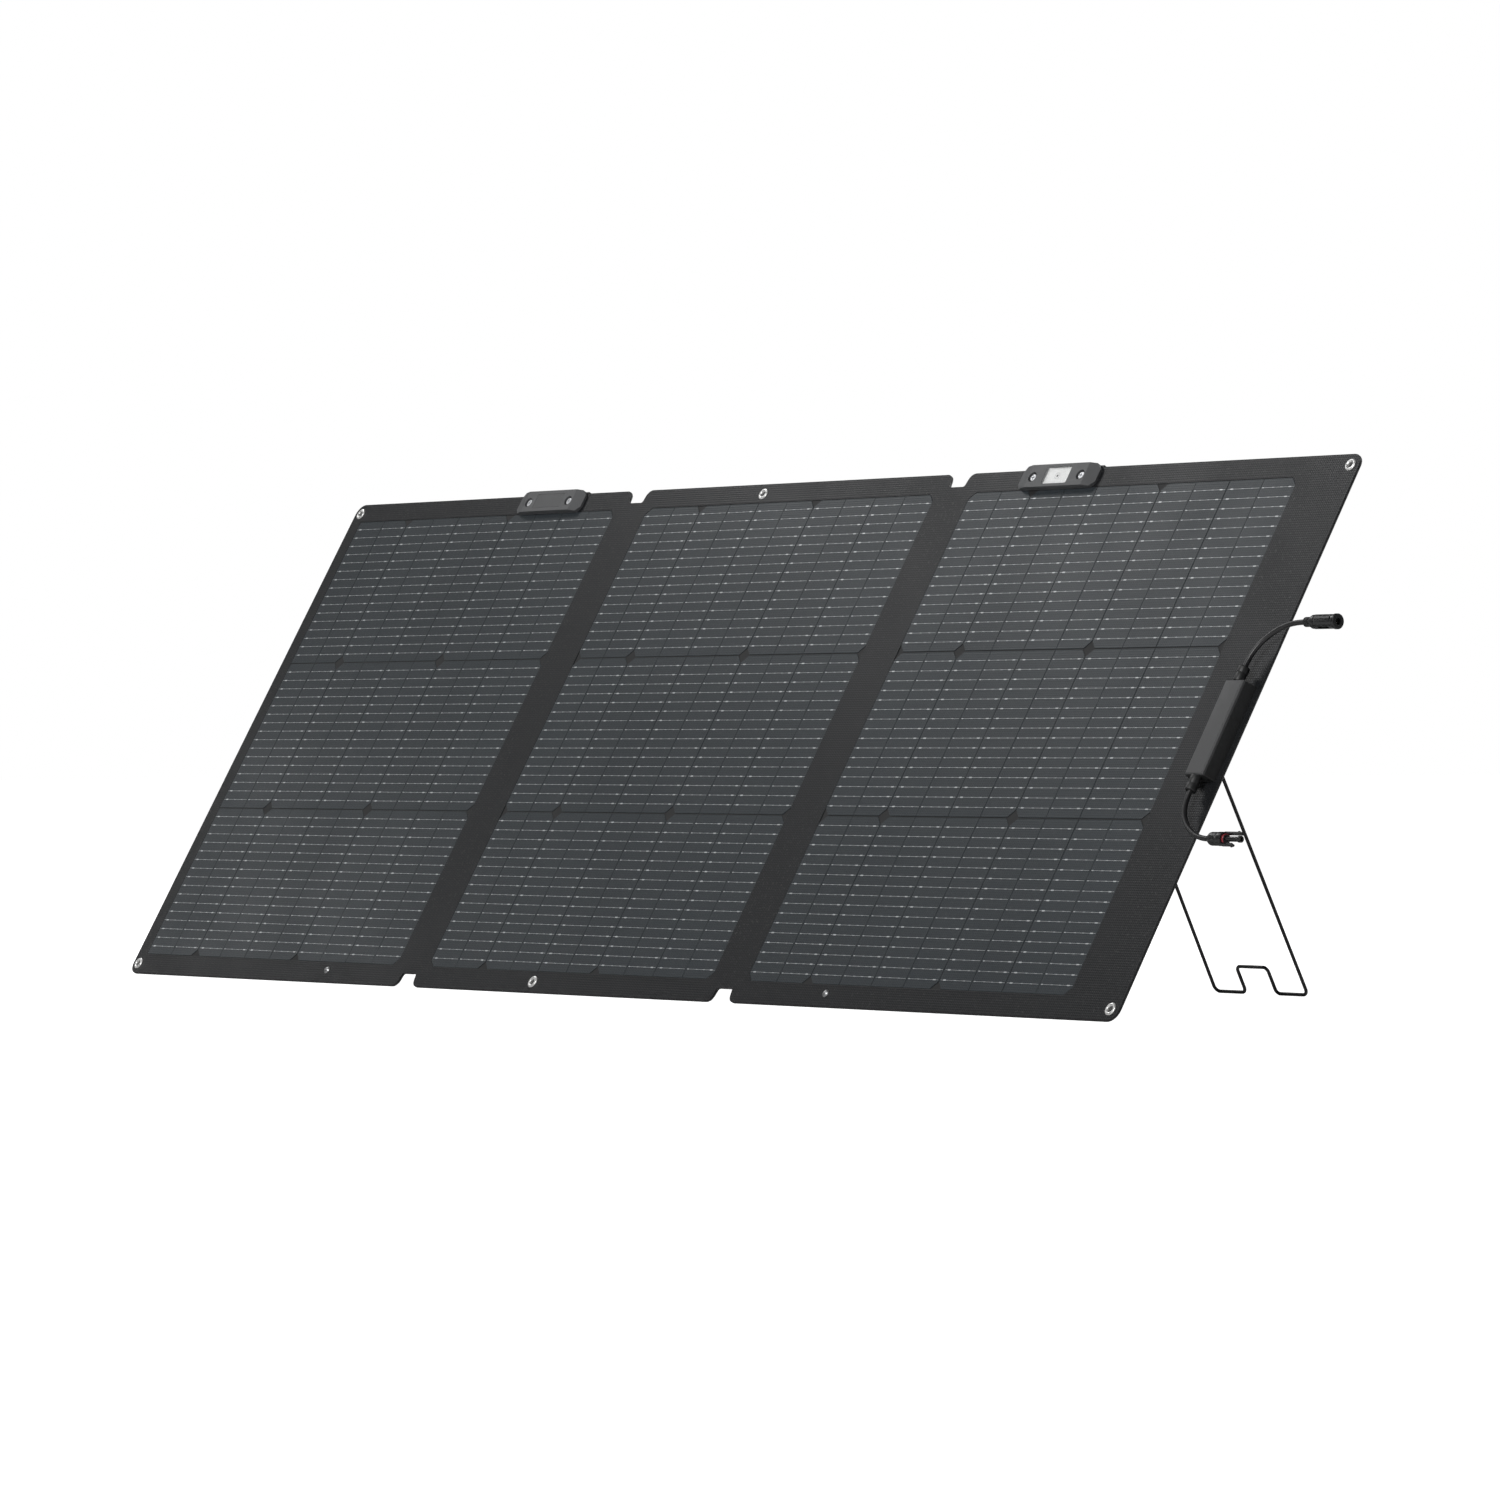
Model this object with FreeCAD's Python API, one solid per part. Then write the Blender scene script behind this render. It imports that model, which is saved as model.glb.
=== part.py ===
"""A folding camping solar panel: three laminated leaves, two fabric hinges, two wire stands, a cable box
and two leads.

Everything is first built lying flat in the panel's own frame: u runs right along the width, v runs up the
leaf and n comes out of the front, with n = 0 on the front film. stand_up() then tips it back onto its lower
edge. In the row's frame +X is along the width, +Y is to the back and +Z is up, and the origin is on the
floor under the middle of the footprint. Units are millimetres.
"""

import FreeCAD, Part
import math
import os

V = FreeCAD.Vector
os.makedirs("parts", exist_ok=True)

# ---- driving dimensions: the whole panel
WIDTH = 1636.0
HEIGHT = 600.0
TILT = 59.4  # degrees that the leaves stand up from the floor
CORNER_R = 12.5

# ---- driving dimensions: the laminate, from the back up to the front film at n = 0
BACK_N = -3.0  # outside of the back fabric
BOARD_BACK_N = -2.4  # inside of the back fabric
BOARD_FRONT_N = -1.2
FACE_N = -0.6  # front of the face sheet, on which the cells lie
CELL_N = -0.4  # front of the cells
RIBBON_N = -0.3  # front of the ribbons
RIM = 5.0  # width of the fabric rim around the board

# ---- driving dimensions: the hinges
NOTCHES = (524.0, 1055.6)  # middles of the two hinge notches along u
NOTCH_HALF = 12.0  # half the flat bottom of a notch
NOTCH_FLARE = 2.5  # how much wider each side is at its mouth
NOTCH_DEPTH = 15.3
NOTCH_MOUTH_R = 9.0
NOTCH_ROOT_R = 3.0
LEFT_CREASES = (513.5, 524.5)  # 11 apart: the left leaf folds in first
RIGHT_CREASES = (1042.6, 1068.6)  # 26 apart: the right leaf folds over it
CREASE_GAP = 0.15  # each solid stops this far short of a crease

# ---- driving dimensions: the cells
CELL_STARTS = (18.7, 551.7, 1083.4)  # left edge of each leaf's cell field
COLUMNS = 10
COLUMN_PITCH = 47.8
CELL_WIDTH = 45.6
ROWS = 3
ROW_PITCH = 184.9
CELL_HEIGHT = 182.6
CELLS_V = 24.3  # lower edge of the cell field
CELL_CHAMFER = 8.0  # the cut corners of the wafer that a quarter cell comes from
RIBBONS_PER_ROW = 16
RIBBON_PITCH = 10.87
RIBBON_WIDTH = 1.1
RIBBON_OVERHANG = 1.0  # ribbons run this far past the last cell

# ---- driving dimensions: eyelets
EYELET_HOLE_R = 3.0
EYELET_BARREL_R = 3.6
EYELET_FLANGE_R = 6.5
EYELET_FLANGE_T = 1.2
WASHER_R = 6.0
WASHER_T = 0.9
LAMINATE_HOLE_R = 3.7
EYELETS = {
    "left": ((10.5, 12.0), (10.5, 588.0)),
    "middle": ((742.0, 12.0), (742.0, 588.0)),
    "right": ((1624.0, 12.0), (1624.0, 588.0)),
}

# ---- driving dimensions: stands and their blocks
STANDS = {"left": 373.4, "right": 1212.0}  # middle of each stand along u
PIVOT_V = 588.0
PIVOT_N = -7.0
WIRE_R = 1.75
LEG_LENGTH = 564.5  # pivot to the middle of the foot bars
LEG_HALF_TOP = 61.5
LEG_HALF_FOOT = 68.0
FOOT_NOTCH_HALF = 22.65
FOOT_NOTCH_HEIGHT = 29.5
PIN_END = 45.0  # how near to the middle the turned-in ends reach
BORE_CLEARANCE = 0.05
BLOCK_HALF = 57.5
BLOCK_V = (576.3, 601.8)
BLOCK_T = 6.5
BLOCK_END_T = 2.5
BLOCK_BEVEL = 15.0
BLOCK_CHAMFER = 5.5
BRACKET_BACK_N = -11.0
LUG_OUT = 8.0  # how far a stop lug stands out past the bracket's end
LUG_REACH = 5.5  # how far a stop lug follows the opened leg
LUG_GAP = 0.3
SCREW_HALF_SPACING = 35.8
SCREW_HEAD_R = 4.1
SCREW_HEAD_T = 2.0
SCREW_R = 1.5
SCREW_TIP_N = -9.5
COUNTERBORE_R = 5.5
COUNTERBORE_N = 3.2
LABEL = (49.0, 17.0, 0.9)
WINDOW = (37.0, 19.4)
WINDOW_T = 1.0
DIAL_T = 1.2
DIAL_N = 3.2

# ---- driving dimensions: the clip that holds a folded stand
CLIP_HALF = 12.0
CLIP_V = (7.0, 60.0)
CLIP_T = 1.9
CRADLE_CLEARANCE = 0.35
CRADLE_WALL = 2.0
CRADLE_N = -9.5
RIVET_V = 14.5
RIVET_R = 1.6
RIVET_HEAD_R = 4.0
RIVET_HEAD_T = 2.0
RIVET_TAIL_R = 3.0
RIVET_TAIL_T = 1.0

# ---- driving dimensions: cable box, leads and connectors
BOX_MIDDLE = 1614.0
BOX_HALF_FOOT = 16.0  # the sides have draft: this is half the width on the film
BOX_HALF_TOP = 11.8
BOX_V = (248.0, 348.0)
BOX_T = 15.0
BOX_LID_T = 3.0
BOX_WALL = 2.0
BOX_CHAMFER = 1.2
LEAD_N = 10.0
LEAD_U = 1614.5
LEAD_R = 2.5
GLAND_R = 5.2
GLAND_LENGTH = 8.5
GLAND_NUT_R = 5.5
GLAND_NUT_LENGTH = 7.0
CONNECTOR_NUT_LENGTH = 15.0
CONNECTOR_BODY_LENGTH = 28.0
CONNECTOR_BODY_R = 6.7
SOCKET_BORE_R = 3.3
NOSE_R = 2.4
NOSE_BORE_R = 1.9
UPPER_ROUTE = ((1614.5, 363.5), (1614.5, 374.0), (1621.7, 391.1), (1636.2, 403.8), (1654.5, 411.0), (1670.7, 411.0))
LOWER_ROUTE = ((1614.5, 232.5), (1614.5, 221.6), (1621.0, 206.4), (1634.5, 193.2), (1655.0, 183.3), (1667.6, 183.3))

# ---- worked out
THICKNESS = -BACK_N
LEAVES = {
    "left": (0.0, LEFT_CREASES[0]),
    "middle": (LEFT_CREASES[1], RIGHT_CREASES[0]),
    "right": (RIGHT_CREASES[1], WIDTH),
}
STRIPS = {"left": LEFT_CREASES, "right": RIGHT_CREASES}
tilt = math.radians(TILT)
FLOOR_LIFT = THICKNESS * math.cos(tilt)
PIVOT_Z = FLOOR_LIFT + PIVOT_V * math.sin(tilt) + PIVOT_N * math.cos(tilt)
PIVOT_Y = PIVOT_V * math.cos(tilt) - PIVOT_N * math.sin(tilt)
LEG_ANGLE = math.degrees(math.asin((PIVOT_Z - WIRE_R) / LEG_LENGTH))
OPEN_ANGLE = 180.0 - TILT - LEG_ANGLE
DEPTH = PIVOT_Y + LEG_LENGTH * math.cos(math.radians(LEG_ANGLE)) + WIRE_R


def plate(face, low, high):
    """A flat face drawn at n = 0, thickened from n = low to n = high."""
    solid = face.extrude(V(0, 0, high - low))
    solid.translate(V(0, 0, low))
    return solid


def block(u, v, n):
    """A plain block between the pairs u, v and n."""
    return Part.makeBox(u[1] - u[0], v[1] - v[0], n[1] - n[0], V(u[0], v[0], n[0]))


def disc(u, v, low, high, radius):
    """A round bar along n."""
    return Part.makeCylinder(radius, high - low, V(u, v, low), V(0, 0, 1))


def rounded_edges(points, closed):
    """Edges of straight runs joined by tangent arcs. Each point is (x, y, z, radius)."""
    count = len(points)
    places = [V(p[0], p[1], p[2]) for p in points]
    edges = []
    start = None if closed else places[0]
    first = None
    for i in range(count if closed else count - 2):
        k = i if closed else i + 1
        corner = places[k]
        radius = points[k][3]
        back = (places[k - 1] - corner).normalize()
        ahead = (places[(k + 1) % count] - corner).normalize()
        if radius <= 0:
            here = there = corner
        else:
            half = math.acos(max(-1.0, min(1.0, back.dot(ahead)))) / 2
            reach = radius / math.tan(half)
            here = corner + back * reach
            there = corner + ahead * reach
            inward = (back + ahead).normalize()
            middle = corner + inward * (radius / math.sin(half) - radius)
        if start is not None and start.distanceToPoint(here) > 1e-6:
            edges.append(Part.LineSegment(start, here).toShape())
        if radius > 0:
            edges.append(Part.Arc(here, middle, there).toShape())
        if first is None:
            first = here
        start = there
    last = first if closed else places[-1]
    if start.distanceToPoint(last) > 1e-6:
        edges.append(Part.LineSegment(start, last).toShape())
    return edges


def flat_face(points):
    """A closed face at n = 0. Each point is (u, v, radius)."""
    return Part.Face(Part.Wire(rounded_edges([(u, v, 0.0, r) for u, v, r in points], True)))


def outline(inset):
    """The whole panel's outline, with the two notches at the top and at the bottom, drawn in by inset."""
    low = inset
    high = HEIGHT - inset
    right = WIDTH - inset
    depth = NOTCH_DEPTH + inset
    outer = CORNER_R - inset
    mouth = NOTCH_MOUTH_R - inset
    root = NOTCH_ROOT_R + inset
    half = NOTCH_HALF + inset
    wide = half + NOTCH_FLARE
    points = [(low, low, outer)]
    for middle in NOTCHES:
        points.append((middle - wide, low, mouth))
        points.append((middle - half, depth, root))
        points.append((middle + half, depth, root))
        points.append((middle + wide, low, mouth))
    points.append((right, low, outer))
    points.append((right, high, outer))
    for middle in reversed(NOTCHES):
        points.append((middle + wide, high, mouth))
        points.append((middle + half, HEIGHT - depth, root))
        points.append((middle - half, HEIGHT - depth, root))
        points.append((middle - wide, high, mouth))
    points.append((low, high, outer))
    return flat_face(points)


def stretch(inset, u, low, high):
    """The part of the panel between the pair u, from n = low to n = high."""
    whole = plate(outline(inset), low, high)
    return whole.common(block(u, (-10.0, HEIGHT + 10.0), (low, high))).Solids[0]


def leaf_span(name, margin):
    """The u span of a leaf, short of its creases by margin, and past its free ends."""
    left, right = LEAVES[name]
    left = left + margin if left > 0 else -10.0
    right = right - margin if right < WIDTH else WIDTH + 10.0
    return left, right


def leaf_holes(name):
    """Round bars where the leaf's sheets are pierced by eyelets, screws and the rivet."""
    bars = [disc(u, v, -20.0, 20.0, LAMINATE_HOLE_R) for u, v in EYELETS[name]]
    if name in STANDS:
        middle = STANDS[name]
        for side in (-1, 1):
            bars.append(disc(middle + side * SCREW_HALF_SPACING, PIVOT_V, -20.0, 20.0, SCREW_R + 0.3))
        bars.append(disc(middle, RIVET_V, -20.0, 20.0, RIVET_R + 0.1))
    return bars


def quarter_cell(u, v, cut_left, cut_right):
    """One cell face with its lower left corner at u, v. A cut side has both its corners chamfered."""
    a = CELL_CHAMFER if cut_left else 0.0
    b = CELL_CHAMFER if cut_right else 0.0
    w = CELL_WIDTH
    h = CELL_HEIGHT
    points = [(u, v + a), (u + a, v), (u + w - b, v), (u + w, v + b)]
    points += [(u + w, v + h - b), (u + w - b, v + h), (u + a, v + h), (u, v + h - a)]
    corners = []
    for p in points:
        if not corners or p != corners[-1]:
            corners.append(p)
    if corners[0] == corners[-1]:
        corners.pop()
    return flat_face([(x, y, 0.0) for x, y in corners])


def cell_field(leaf):
    """Left edge, right edge, lower edge and upper edge of a leaf's cells."""
    left = CELL_STARTS[list(LEAVES).index(leaf)]
    right = left + (COLUMNS - 1) * COLUMN_PITCH + CELL_WIDTH
    return left, right, CELLS_V, CELLS_V + (ROWS - 1) * ROW_PITCH + CELL_HEIGHT


def cells(leaf):
    """Three rows of ten quarter cells. The wafer's cut corners fall at every fourth column edge."""
    left = cell_field(leaf)[0]
    solids = []
    for row in range(ROWS):
        for column in range(COLUMNS):
            u = left + column * COLUMN_PITCH
            v = CELLS_V + row * ROW_PITCH
            cut_left = column % 4 == 2 or (column == 0 and leaf != "left")
            cut_right = column % 4 == 1
            solids.append(plate(quarter_cell(u, v, cut_left, cut_right), FACE_N, CELL_N))
    return solids


def ribbons(leaf):
    """Sixteen ribbons along each row of cells."""
    left, right = cell_field(leaf)[:2]
    solids = []
    for row in range(ROWS):
        middle = CELLS_V + row * ROW_PITCH + CELL_HEIGHT / 2
        for i in range(RIBBONS_PER_ROW):
            v = middle + (i - (RIBBONS_PER_ROW - 1) / 2) * RIBBON_PITCH
            across = (v - RIBBON_WIDTH / 2, v + RIBBON_WIDTH / 2)
            along = (left - RIBBON_OVERHANG, right + RIBBON_OVERHANG)
            solids.append(block(along, across, (CELL_N, RIBBON_N)))
    return solids


def laminate(leaf):
    """The six sheets and groups of one leaf, by node."""
    whole = leaf_span(leaf, CREASE_GAP)
    inside = leaf_span(leaf, RIM)
    holes = leaf_holes(leaf)
    board = stretch(RIM, inside, BOARD_BACK_N, BOARD_FRONT_N)
    left, right, low, high = cell_field(leaf)
    recess = block((left - 3.0, right + 3.0), (low - 2.0, high + 2.0), (FACE_N, RIBBON_N))
    return {
        leaf + "_back_fabric": [stretch(0.0, whole, BACK_N, BOARD_FRONT_N).cut([board] + holes)],
        leaf + "_core_board": [board.cut(holes)],
        leaf + "_face_sheet": [stretch(0.0, whole, BOARD_FRONT_N, FACE_N).cut(holes)],
        leaf + "_cells": cells(leaf),
        leaf + "_ribbons": ribbons(leaf),
        leaf + "_front_film": [stretch(0.0, whole, FACE_N, 0.0).cut([recess] + holes)],
    }


def eyelet(u, v):
    """A pressed ring with its barrel, and the washer that it is rolled over."""
    flange = disc(u, v, 0.0, EYELET_FLANGE_T, EYELET_FLANGE_R)
    rim = [e for e in flange.Edges if abs(e.BoundBox.ZMin - EYELET_FLANGE_T) < 1e-6 and e.Closed]
    flange = flange.makeFillet(0.9, rim)
    barrel = disc(u, v, BACK_N - WASHER_T, EYELET_FLANGE_T / 2, EYELET_BARREL_R)
    ring = flange.fuse(barrel).removeSplitter().cut(disc(u, v, -20.0, 20.0, EYELET_HOLE_R))
    washer = disc(u, v, BACK_N - WASHER_T, BACK_N, WASHER_R)
    washer = washer.cut(disc(u, v, -20.0, 20.0, EYELET_BARREL_R))
    return [ring, washer]


def hinge_strip(side):
    """The strip of cloth between two creases: face sheet, back fabric and the flat jumper between them."""
    left, right = STRIPS[side]
    u = (left + CREASE_GAP, right - CREASE_GAP)
    middle_n = (BOARD_BACK_N + BOARD_FRONT_N) / 2
    jumper = block((u[0] + 0.5, u[1] - 0.5), (290.0, 310.0), (middle_n - 0.2, middle_n + 0.2))
    return {
        side + "_hinge_back": [stretch(0.0, u, BACK_N, middle_n).cut(jumper)],
        side + "_hinge_face": [stretch(0.0, u, middle_n, 0.0).cut(jumper)],
        side + "_hinge_jumper": [jumper],
    }


def sweep(points, radius):
    """A round wire of the given radius along straight runs joined by arcs."""
    path = Part.Wire(rounded_edges(points, False))
    start = V(*points[0][:3])
    heading = V(*points[1][:3]) - start
    section = Part.Wire(Part.makeCircle(radius, start, heading))
    solid = path.makePipeShell([section], True, False)
    return Part.Solid(solid) if solid.ShapeType != "Solid" else solid


def stand_wire(middle):
    """One bent wire, made folded flat against the back and then swung open about its pivots."""
    foot = PIVOT_V - LEG_LENGTH
    crown = foot + FOOT_NOTCH_HEIGHT
    half = [
        (PIN_END, PIVOT_V, 0.0),
        (LEG_HALF_TOP, PIVOT_V, 3.5),
        (LEG_HALF_FOOT, foot, 6.5),
        (FOOT_NOTCH_HALF, foot, 5.5),
        (FOOT_NOTCH_HALF, crown, 5.5),
    ]
    points = [(middle - u, v, PIVOT_N, r) for u, v, r in half]
    points += [(middle + u, v, PIVOT_N, r) for u, v, r in reversed(half)]
    wire = sweep(points, WIRE_R)
    wire.rotate(V(middle, PIVOT_V, PIVOT_N), V(1, 0, 0), OPEN_ANGLE)
    return wire


def block_blank(middle, thickness, end_thickness):
    """A long block with cut corners whose ends slope down."""
    low, high = BLOCK_V
    profile = [
        (-BLOCK_HALF, 0.0),
        (-BLOCK_HALF, end_thickness),
        (-BLOCK_HALF + BLOCK_BEVEL, thickness),
        (BLOCK_HALF - BLOCK_BEVEL, thickness),
        (BLOCK_HALF, end_thickness),
        (BLOCK_HALF, 0.0),
    ]
    corners = [V(middle + u, low, n) for u, n in profile]
    body = Part.Face(Part.makePolygon(corners + corners[:1])).extrude(V(0, high - low, 0))
    c = BLOCK_CHAMFER
    plan = [
        (middle - BLOCK_HALF, low + c, 2.0),
        (middle - BLOCK_HALF + c, low, 2.0),
        (middle + BLOCK_HALF - c, low, 2.0),
        (middle + BLOCK_HALF, low + c, 2.0),
        (middle + BLOCK_HALF, high - c, 2.0),
        (middle + BLOCK_HALF - c, high, 2.0),
        (middle - BLOCK_HALF + c, high, 2.0),
        (middle - BLOCK_HALF, high - c, 2.0),
    ]
    return body.common(plate(flat_face(plan), -1.0, thickness + 1.0))


def pocket(middle, size, low, high):
    """A rectangular pocket with rounded corners, centred on a block."""
    w = size[0] / 2
    h = size[1] / 2
    v = (BLOCK_V[0] + BLOCK_V[1]) / 2
    points = [(middle - w, v - h), (middle + w, v - h), (middle + w, v + h), (middle - w, v + h)]
    return plate(flat_face([(x, y, 2.0) for x, y in points]), low, high)


def screw(u):
    """A pan head screw with a cross recess."""
    head = disc(u, PIVOT_V, COUNTERBORE_N, COUNTERBORE_N + SCREW_HEAD_T, SCREW_HEAD_R)
    top = [e for e in head.Edges if abs(e.BoundBox.ZMin - COUNTERBORE_N - SCREW_HEAD_T) < 1e-6 and e.Closed]
    head = head.makeFillet(0.8, top)
    shank = disc(u, PIVOT_V, SCREW_TIP_N, COUNTERBORE_N, SCREW_R)
    slot_n = (COUNTERBORE_N + SCREW_HEAD_T - 1.0, COUNTERBORE_N + SCREW_HEAD_T + 1.0)
    slots = [
        block((u - 2.4, u + 2.4), (PIVOT_V - 0.5, PIVOT_V + 0.5), slot_n),
        block((u - 0.5, u + 0.5), (PIVOT_V - 2.4, PIVOT_V + 2.4), slot_n),
    ]
    return head.fuse(shank).removeSplitter().cut(slots)


def screw_places(middle):
    return [middle - SCREW_HALF_SPACING, middle + SCREW_HALF_SPACING]


def front_block(side):
    """The block on the front at the top edge, and what is set into its middle."""
    middle = STANDS[side]
    body = block_blank(middle, BLOCK_T, BLOCK_END_T)
    cuts = []
    for u in screw_places(middle):
        cuts.append(disc(u, PIVOT_V, COUNTERBORE_N, 20.0, COUNTERBORE_R))
        cuts.append(disc(u, PIVOT_V, -1.0, 20.0, SCREW_R + 0.2))
    nodes = {}
    if side == "left":
        floor = BLOCK_T - LABEL[2]
        cuts.append(pocket(middle, LABEL[:2], floor, 20.0))
        nodes["left_label_plate"] = [pocket(middle, [s - 0.4 for s in LABEL[:2]], floor, BLOCK_T - 0.1)]
    else:
        cuts.append(pocket(middle, WINDOW, DIAL_N, 20.0))
        inner = [s - 0.4 for s in WINDOW]
        window_n = BLOCK_T - 0.3
        nodes["right_dial"] = [pocket(middle, inner, DIAL_N, DIAL_N + DIAL_T)]
        nodes["right_window"] = [pocket(middle, inner, window_n - WINDOW_T, window_n)]
        spacer = pocket(middle, inner, DIAL_N + DIAL_T, window_n - WINDOW_T)
        hollow = pocket(middle, [s - 3.0 for s in WINDOW], DIAL_N, 20.0)
        nodes["right_window"].append(spacer.cut(hollow))
        nodes["right_window"] = [nodes["right_window"][0].fuse(nodes["right_window"][1])]
    nodes[side + "_block"] = [body.cut(cuts)]
    nodes[side + "_screws"] = [screw(u) for u in screw_places(middle)]
    return nodes


def stop_lug(middle, side):
    """The lug that an opened leg rests against, beside one end of the bracket."""
    angle = math.radians(OPEN_ANGLE)
    along = (-math.cos(angle), -math.sin(angle))
    off = (math.sin(angle), -math.cos(angle))
    gap = WIRE_R + LUG_GAP

    def face_point(reach):
        return (
            PIVOT_V + off[0] * gap + along[0] * reach,
            PIVOT_N + off[1] * gap + along[1] * reach,
        )

    top = BLOCK_V[1]
    corners = [(top, BACK_N), (top, BRACKET_BACK_N), (PIVOT_V + 5.0, face_point(LUG_REACH)[1])]
    corners += [face_point(LUG_REACH), face_point(0.0), (PIVOT_V + 4.0, BACK_N)]
    start = middle + (BLOCK_HALF if side > 0 else -BLOCK_HALF - LUG_OUT)
    points = [V(start, v, n) for v, n in corners]
    return Part.Face(Part.makePolygon(points + points[:1])).extrude(V(LUG_OUT, 0, 0))


def rear_bracket(middle):
    """The bracket behind the top edge: two pivot bores, two stop lugs, and a lip over the edge."""
    low, high = BLOCK_V
    ends = (middle - BLOCK_HALF, middle + BLOCK_HALF)
    body = block(ends, (low, high), (BRACKET_BACK_N, BACK_N))
    lip = block(ends, (HEIGHT + 0.2, high), (BACK_N, 0.0))
    lugs = [stop_lug(middle, side) for side in (-1, 1)]
    body = body.fuse([lip] + lugs).removeSplitter()
    bores = []
    for side in (-1, 1):
        mouth = V(middle + side * BLOCK_HALF, PIVOT_V, PIVOT_N)
        depth = BLOCK_HALF - PIN_END + 1.0
        bores.append(Part.makeCylinder(WIRE_R + BORE_CLEARANCE, depth, mouth, V(-side, 0, 0)))
    holes = [disc(u, PIVOT_V, SCREW_TIP_N - 0.5, 0.0, SCREW_R + 0.05) for u in screw_places(middle)]
    return body.cut(bores + holes)


def stand_clip(middle):
    """A plate with a cradle that the folded stand's foot lies in."""
    bar = PIVOT_V - LEG_LENGTH + FOOT_NOTCH_HEIGHT
    inner = WIRE_R + CRADLE_CLEARANCE
    u = (middle - CLIP_HALF, middle + CLIP_HALF)
    body = block(u, CLIP_V, (BACK_N - CLIP_T, BACK_N))
    walls = [
        block(u, (bar - inner - CRADLE_WALL, bar - inner), (CRADLE_N, BACK_N)),
        block(u, (bar + inner, bar + inner + CRADLE_WALL), (CRADLE_N, BACK_N)),
    ]
    body = body.fuse(walls).removeSplitter()
    return body.cut(disc(middle, RIVET_V, -20.0, 0.0, RIVET_R + 0.1))


def rivet(middle):
    """A domed rivet through the leaf and the clip."""
    rise = RIVET_HEAD_T
    ball = (RIVET_HEAD_R**2 + rise**2) / (2 * rise)
    head = Part.makeSphere(ball, V(middle, RIVET_V, rise - ball))
    head = head.common(disc(middle, RIVET_V, 0.0, rise + 1.0, RIVET_HEAD_R + 1.0))
    tail = BACK_N - CLIP_T
    shank = disc(middle, RIVET_V, tail - RIVET_TAIL_T / 2, 0.1, RIVET_R)
    foot = disc(middle, RIVET_V, tail - RIVET_TAIL_T, tail, RIVET_TAIL_R)
    return head.fuse([shank, foot]).removeSplitter()


def box_half(n):
    """Half the width of the cable box at the height n."""
    return BOX_HALF_FOOT - (BOX_HALF_FOOT - BOX_HALF_TOP) * n / BOX_T


def box_length(low, high, inset, v):
    """A length of the cable box's tapered section between n = low and n = high, drawn in by inset."""
    foot = box_half(low) - inset
    top = box_half(high) - inset
    section = [(-foot, low), (foot, low), (top, high), (-top, high)]
    points = [V(BOX_MIDDLE + u, v[0], n) for u, n in section]
    return Part.Face(Part.makePolygon(points + points[:1])).extrude(V(0, v[1] - v[0], 0))


def cable_box():
    """Base, seal, cover and what is inside."""
    top = BOX_T
    seam = BOX_T - BOX_LID_T
    wall = BOX_WALL
    v0, v1 = BOX_V
    room = (v0 + wall, v1 - wall)
    outer = box_length(0.0, seam, 0.0, BOX_V)
    inner = box_length(wall, seam, wall + 0.2, room)
    step = box_length(seam - 1.0, seam, wall / 2 + 0.2, (v0 + wall / 2, v1 - wall / 2))
    lid = box_length(seam, top, 0.0, BOX_V)
    upper = [e for e in lid.Edges if e.BoundBox.ZMin > top - 1e-6]
    lid = lid.makeChamfer(BOX_CHAMFER, upper)
    lid = lid.cut(box_length(seam, top - wall + 0.4, wall + 0.6, room))
    seal = box_length(seam - 1.0, seam, wall / 2 + 0.3, (v0 + 1.1, v1 - 1.1))
    seal = seal.cut(box_length(seam - 2.0, seam + 1.0, wall + 0.2, room))
    middle_u = BOX_MIDDLE
    board = block((middle_u - 9.0, middle_u + 9.0), (v0 + 12.0, v1 - 12.0), (wall, wall + 1.6))
    diode = block((middle_u - 5.0, middle_u + 5.0), (291.0, 305.0), (wall + 1.6, wall + 6.1))
    terminals = []
    for v in (v0 + 18.0, v1 - 26.0):
        post = block((middle_u - 4.0, middle_u + 4.0), (v, v + 8.0), (wall + 1.6, top - wall - 0.3))
        terminals.append(post.cut(Part.makeCylinder(1.8, 20.0, V(middle_u, v - 5.0, LEAD_N), V(0, 1, 0))))
    return {
        "box_base": [outer.cut([inner, step])],
        "box_cover": [lid],
        "box_seal": [seal],
        "box_circuit_board": [board],
        "box_diode": [diode],
        "box_terminals": terminals,
    }


def glands():
    """A gland and its nut at each end of the box."""
    bodies = []
    nuts = []
    for end, way in ((BOX_V[1], 1), (BOX_V[0], -1)):
        place = V(LEAD_U, end, LEAD_N)
        heading = V(0, way, 0)
        collar = Part.makeCylinder(GLAND_R, GLAND_LENGTH, place, heading)
        bodies.append(collar)
        shoulder = V(LEAD_U, end + way * GLAND_LENGTH, LEAD_N)
        bead = Part.makeCylinder(GLAND_NUT_R, GLAND_NUT_LENGTH, shoulder, heading)
        far = [e for e in bead.Edges if e.Closed and abs(e.BoundBox.YMin - shoulder.y - way * GLAND_NUT_LENGTH) < 1e-6]
        nuts.append(bead.makeFillet(1.2, far))
    return {"gland_bodies": bodies, "gland_nuts": nuts}


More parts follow.
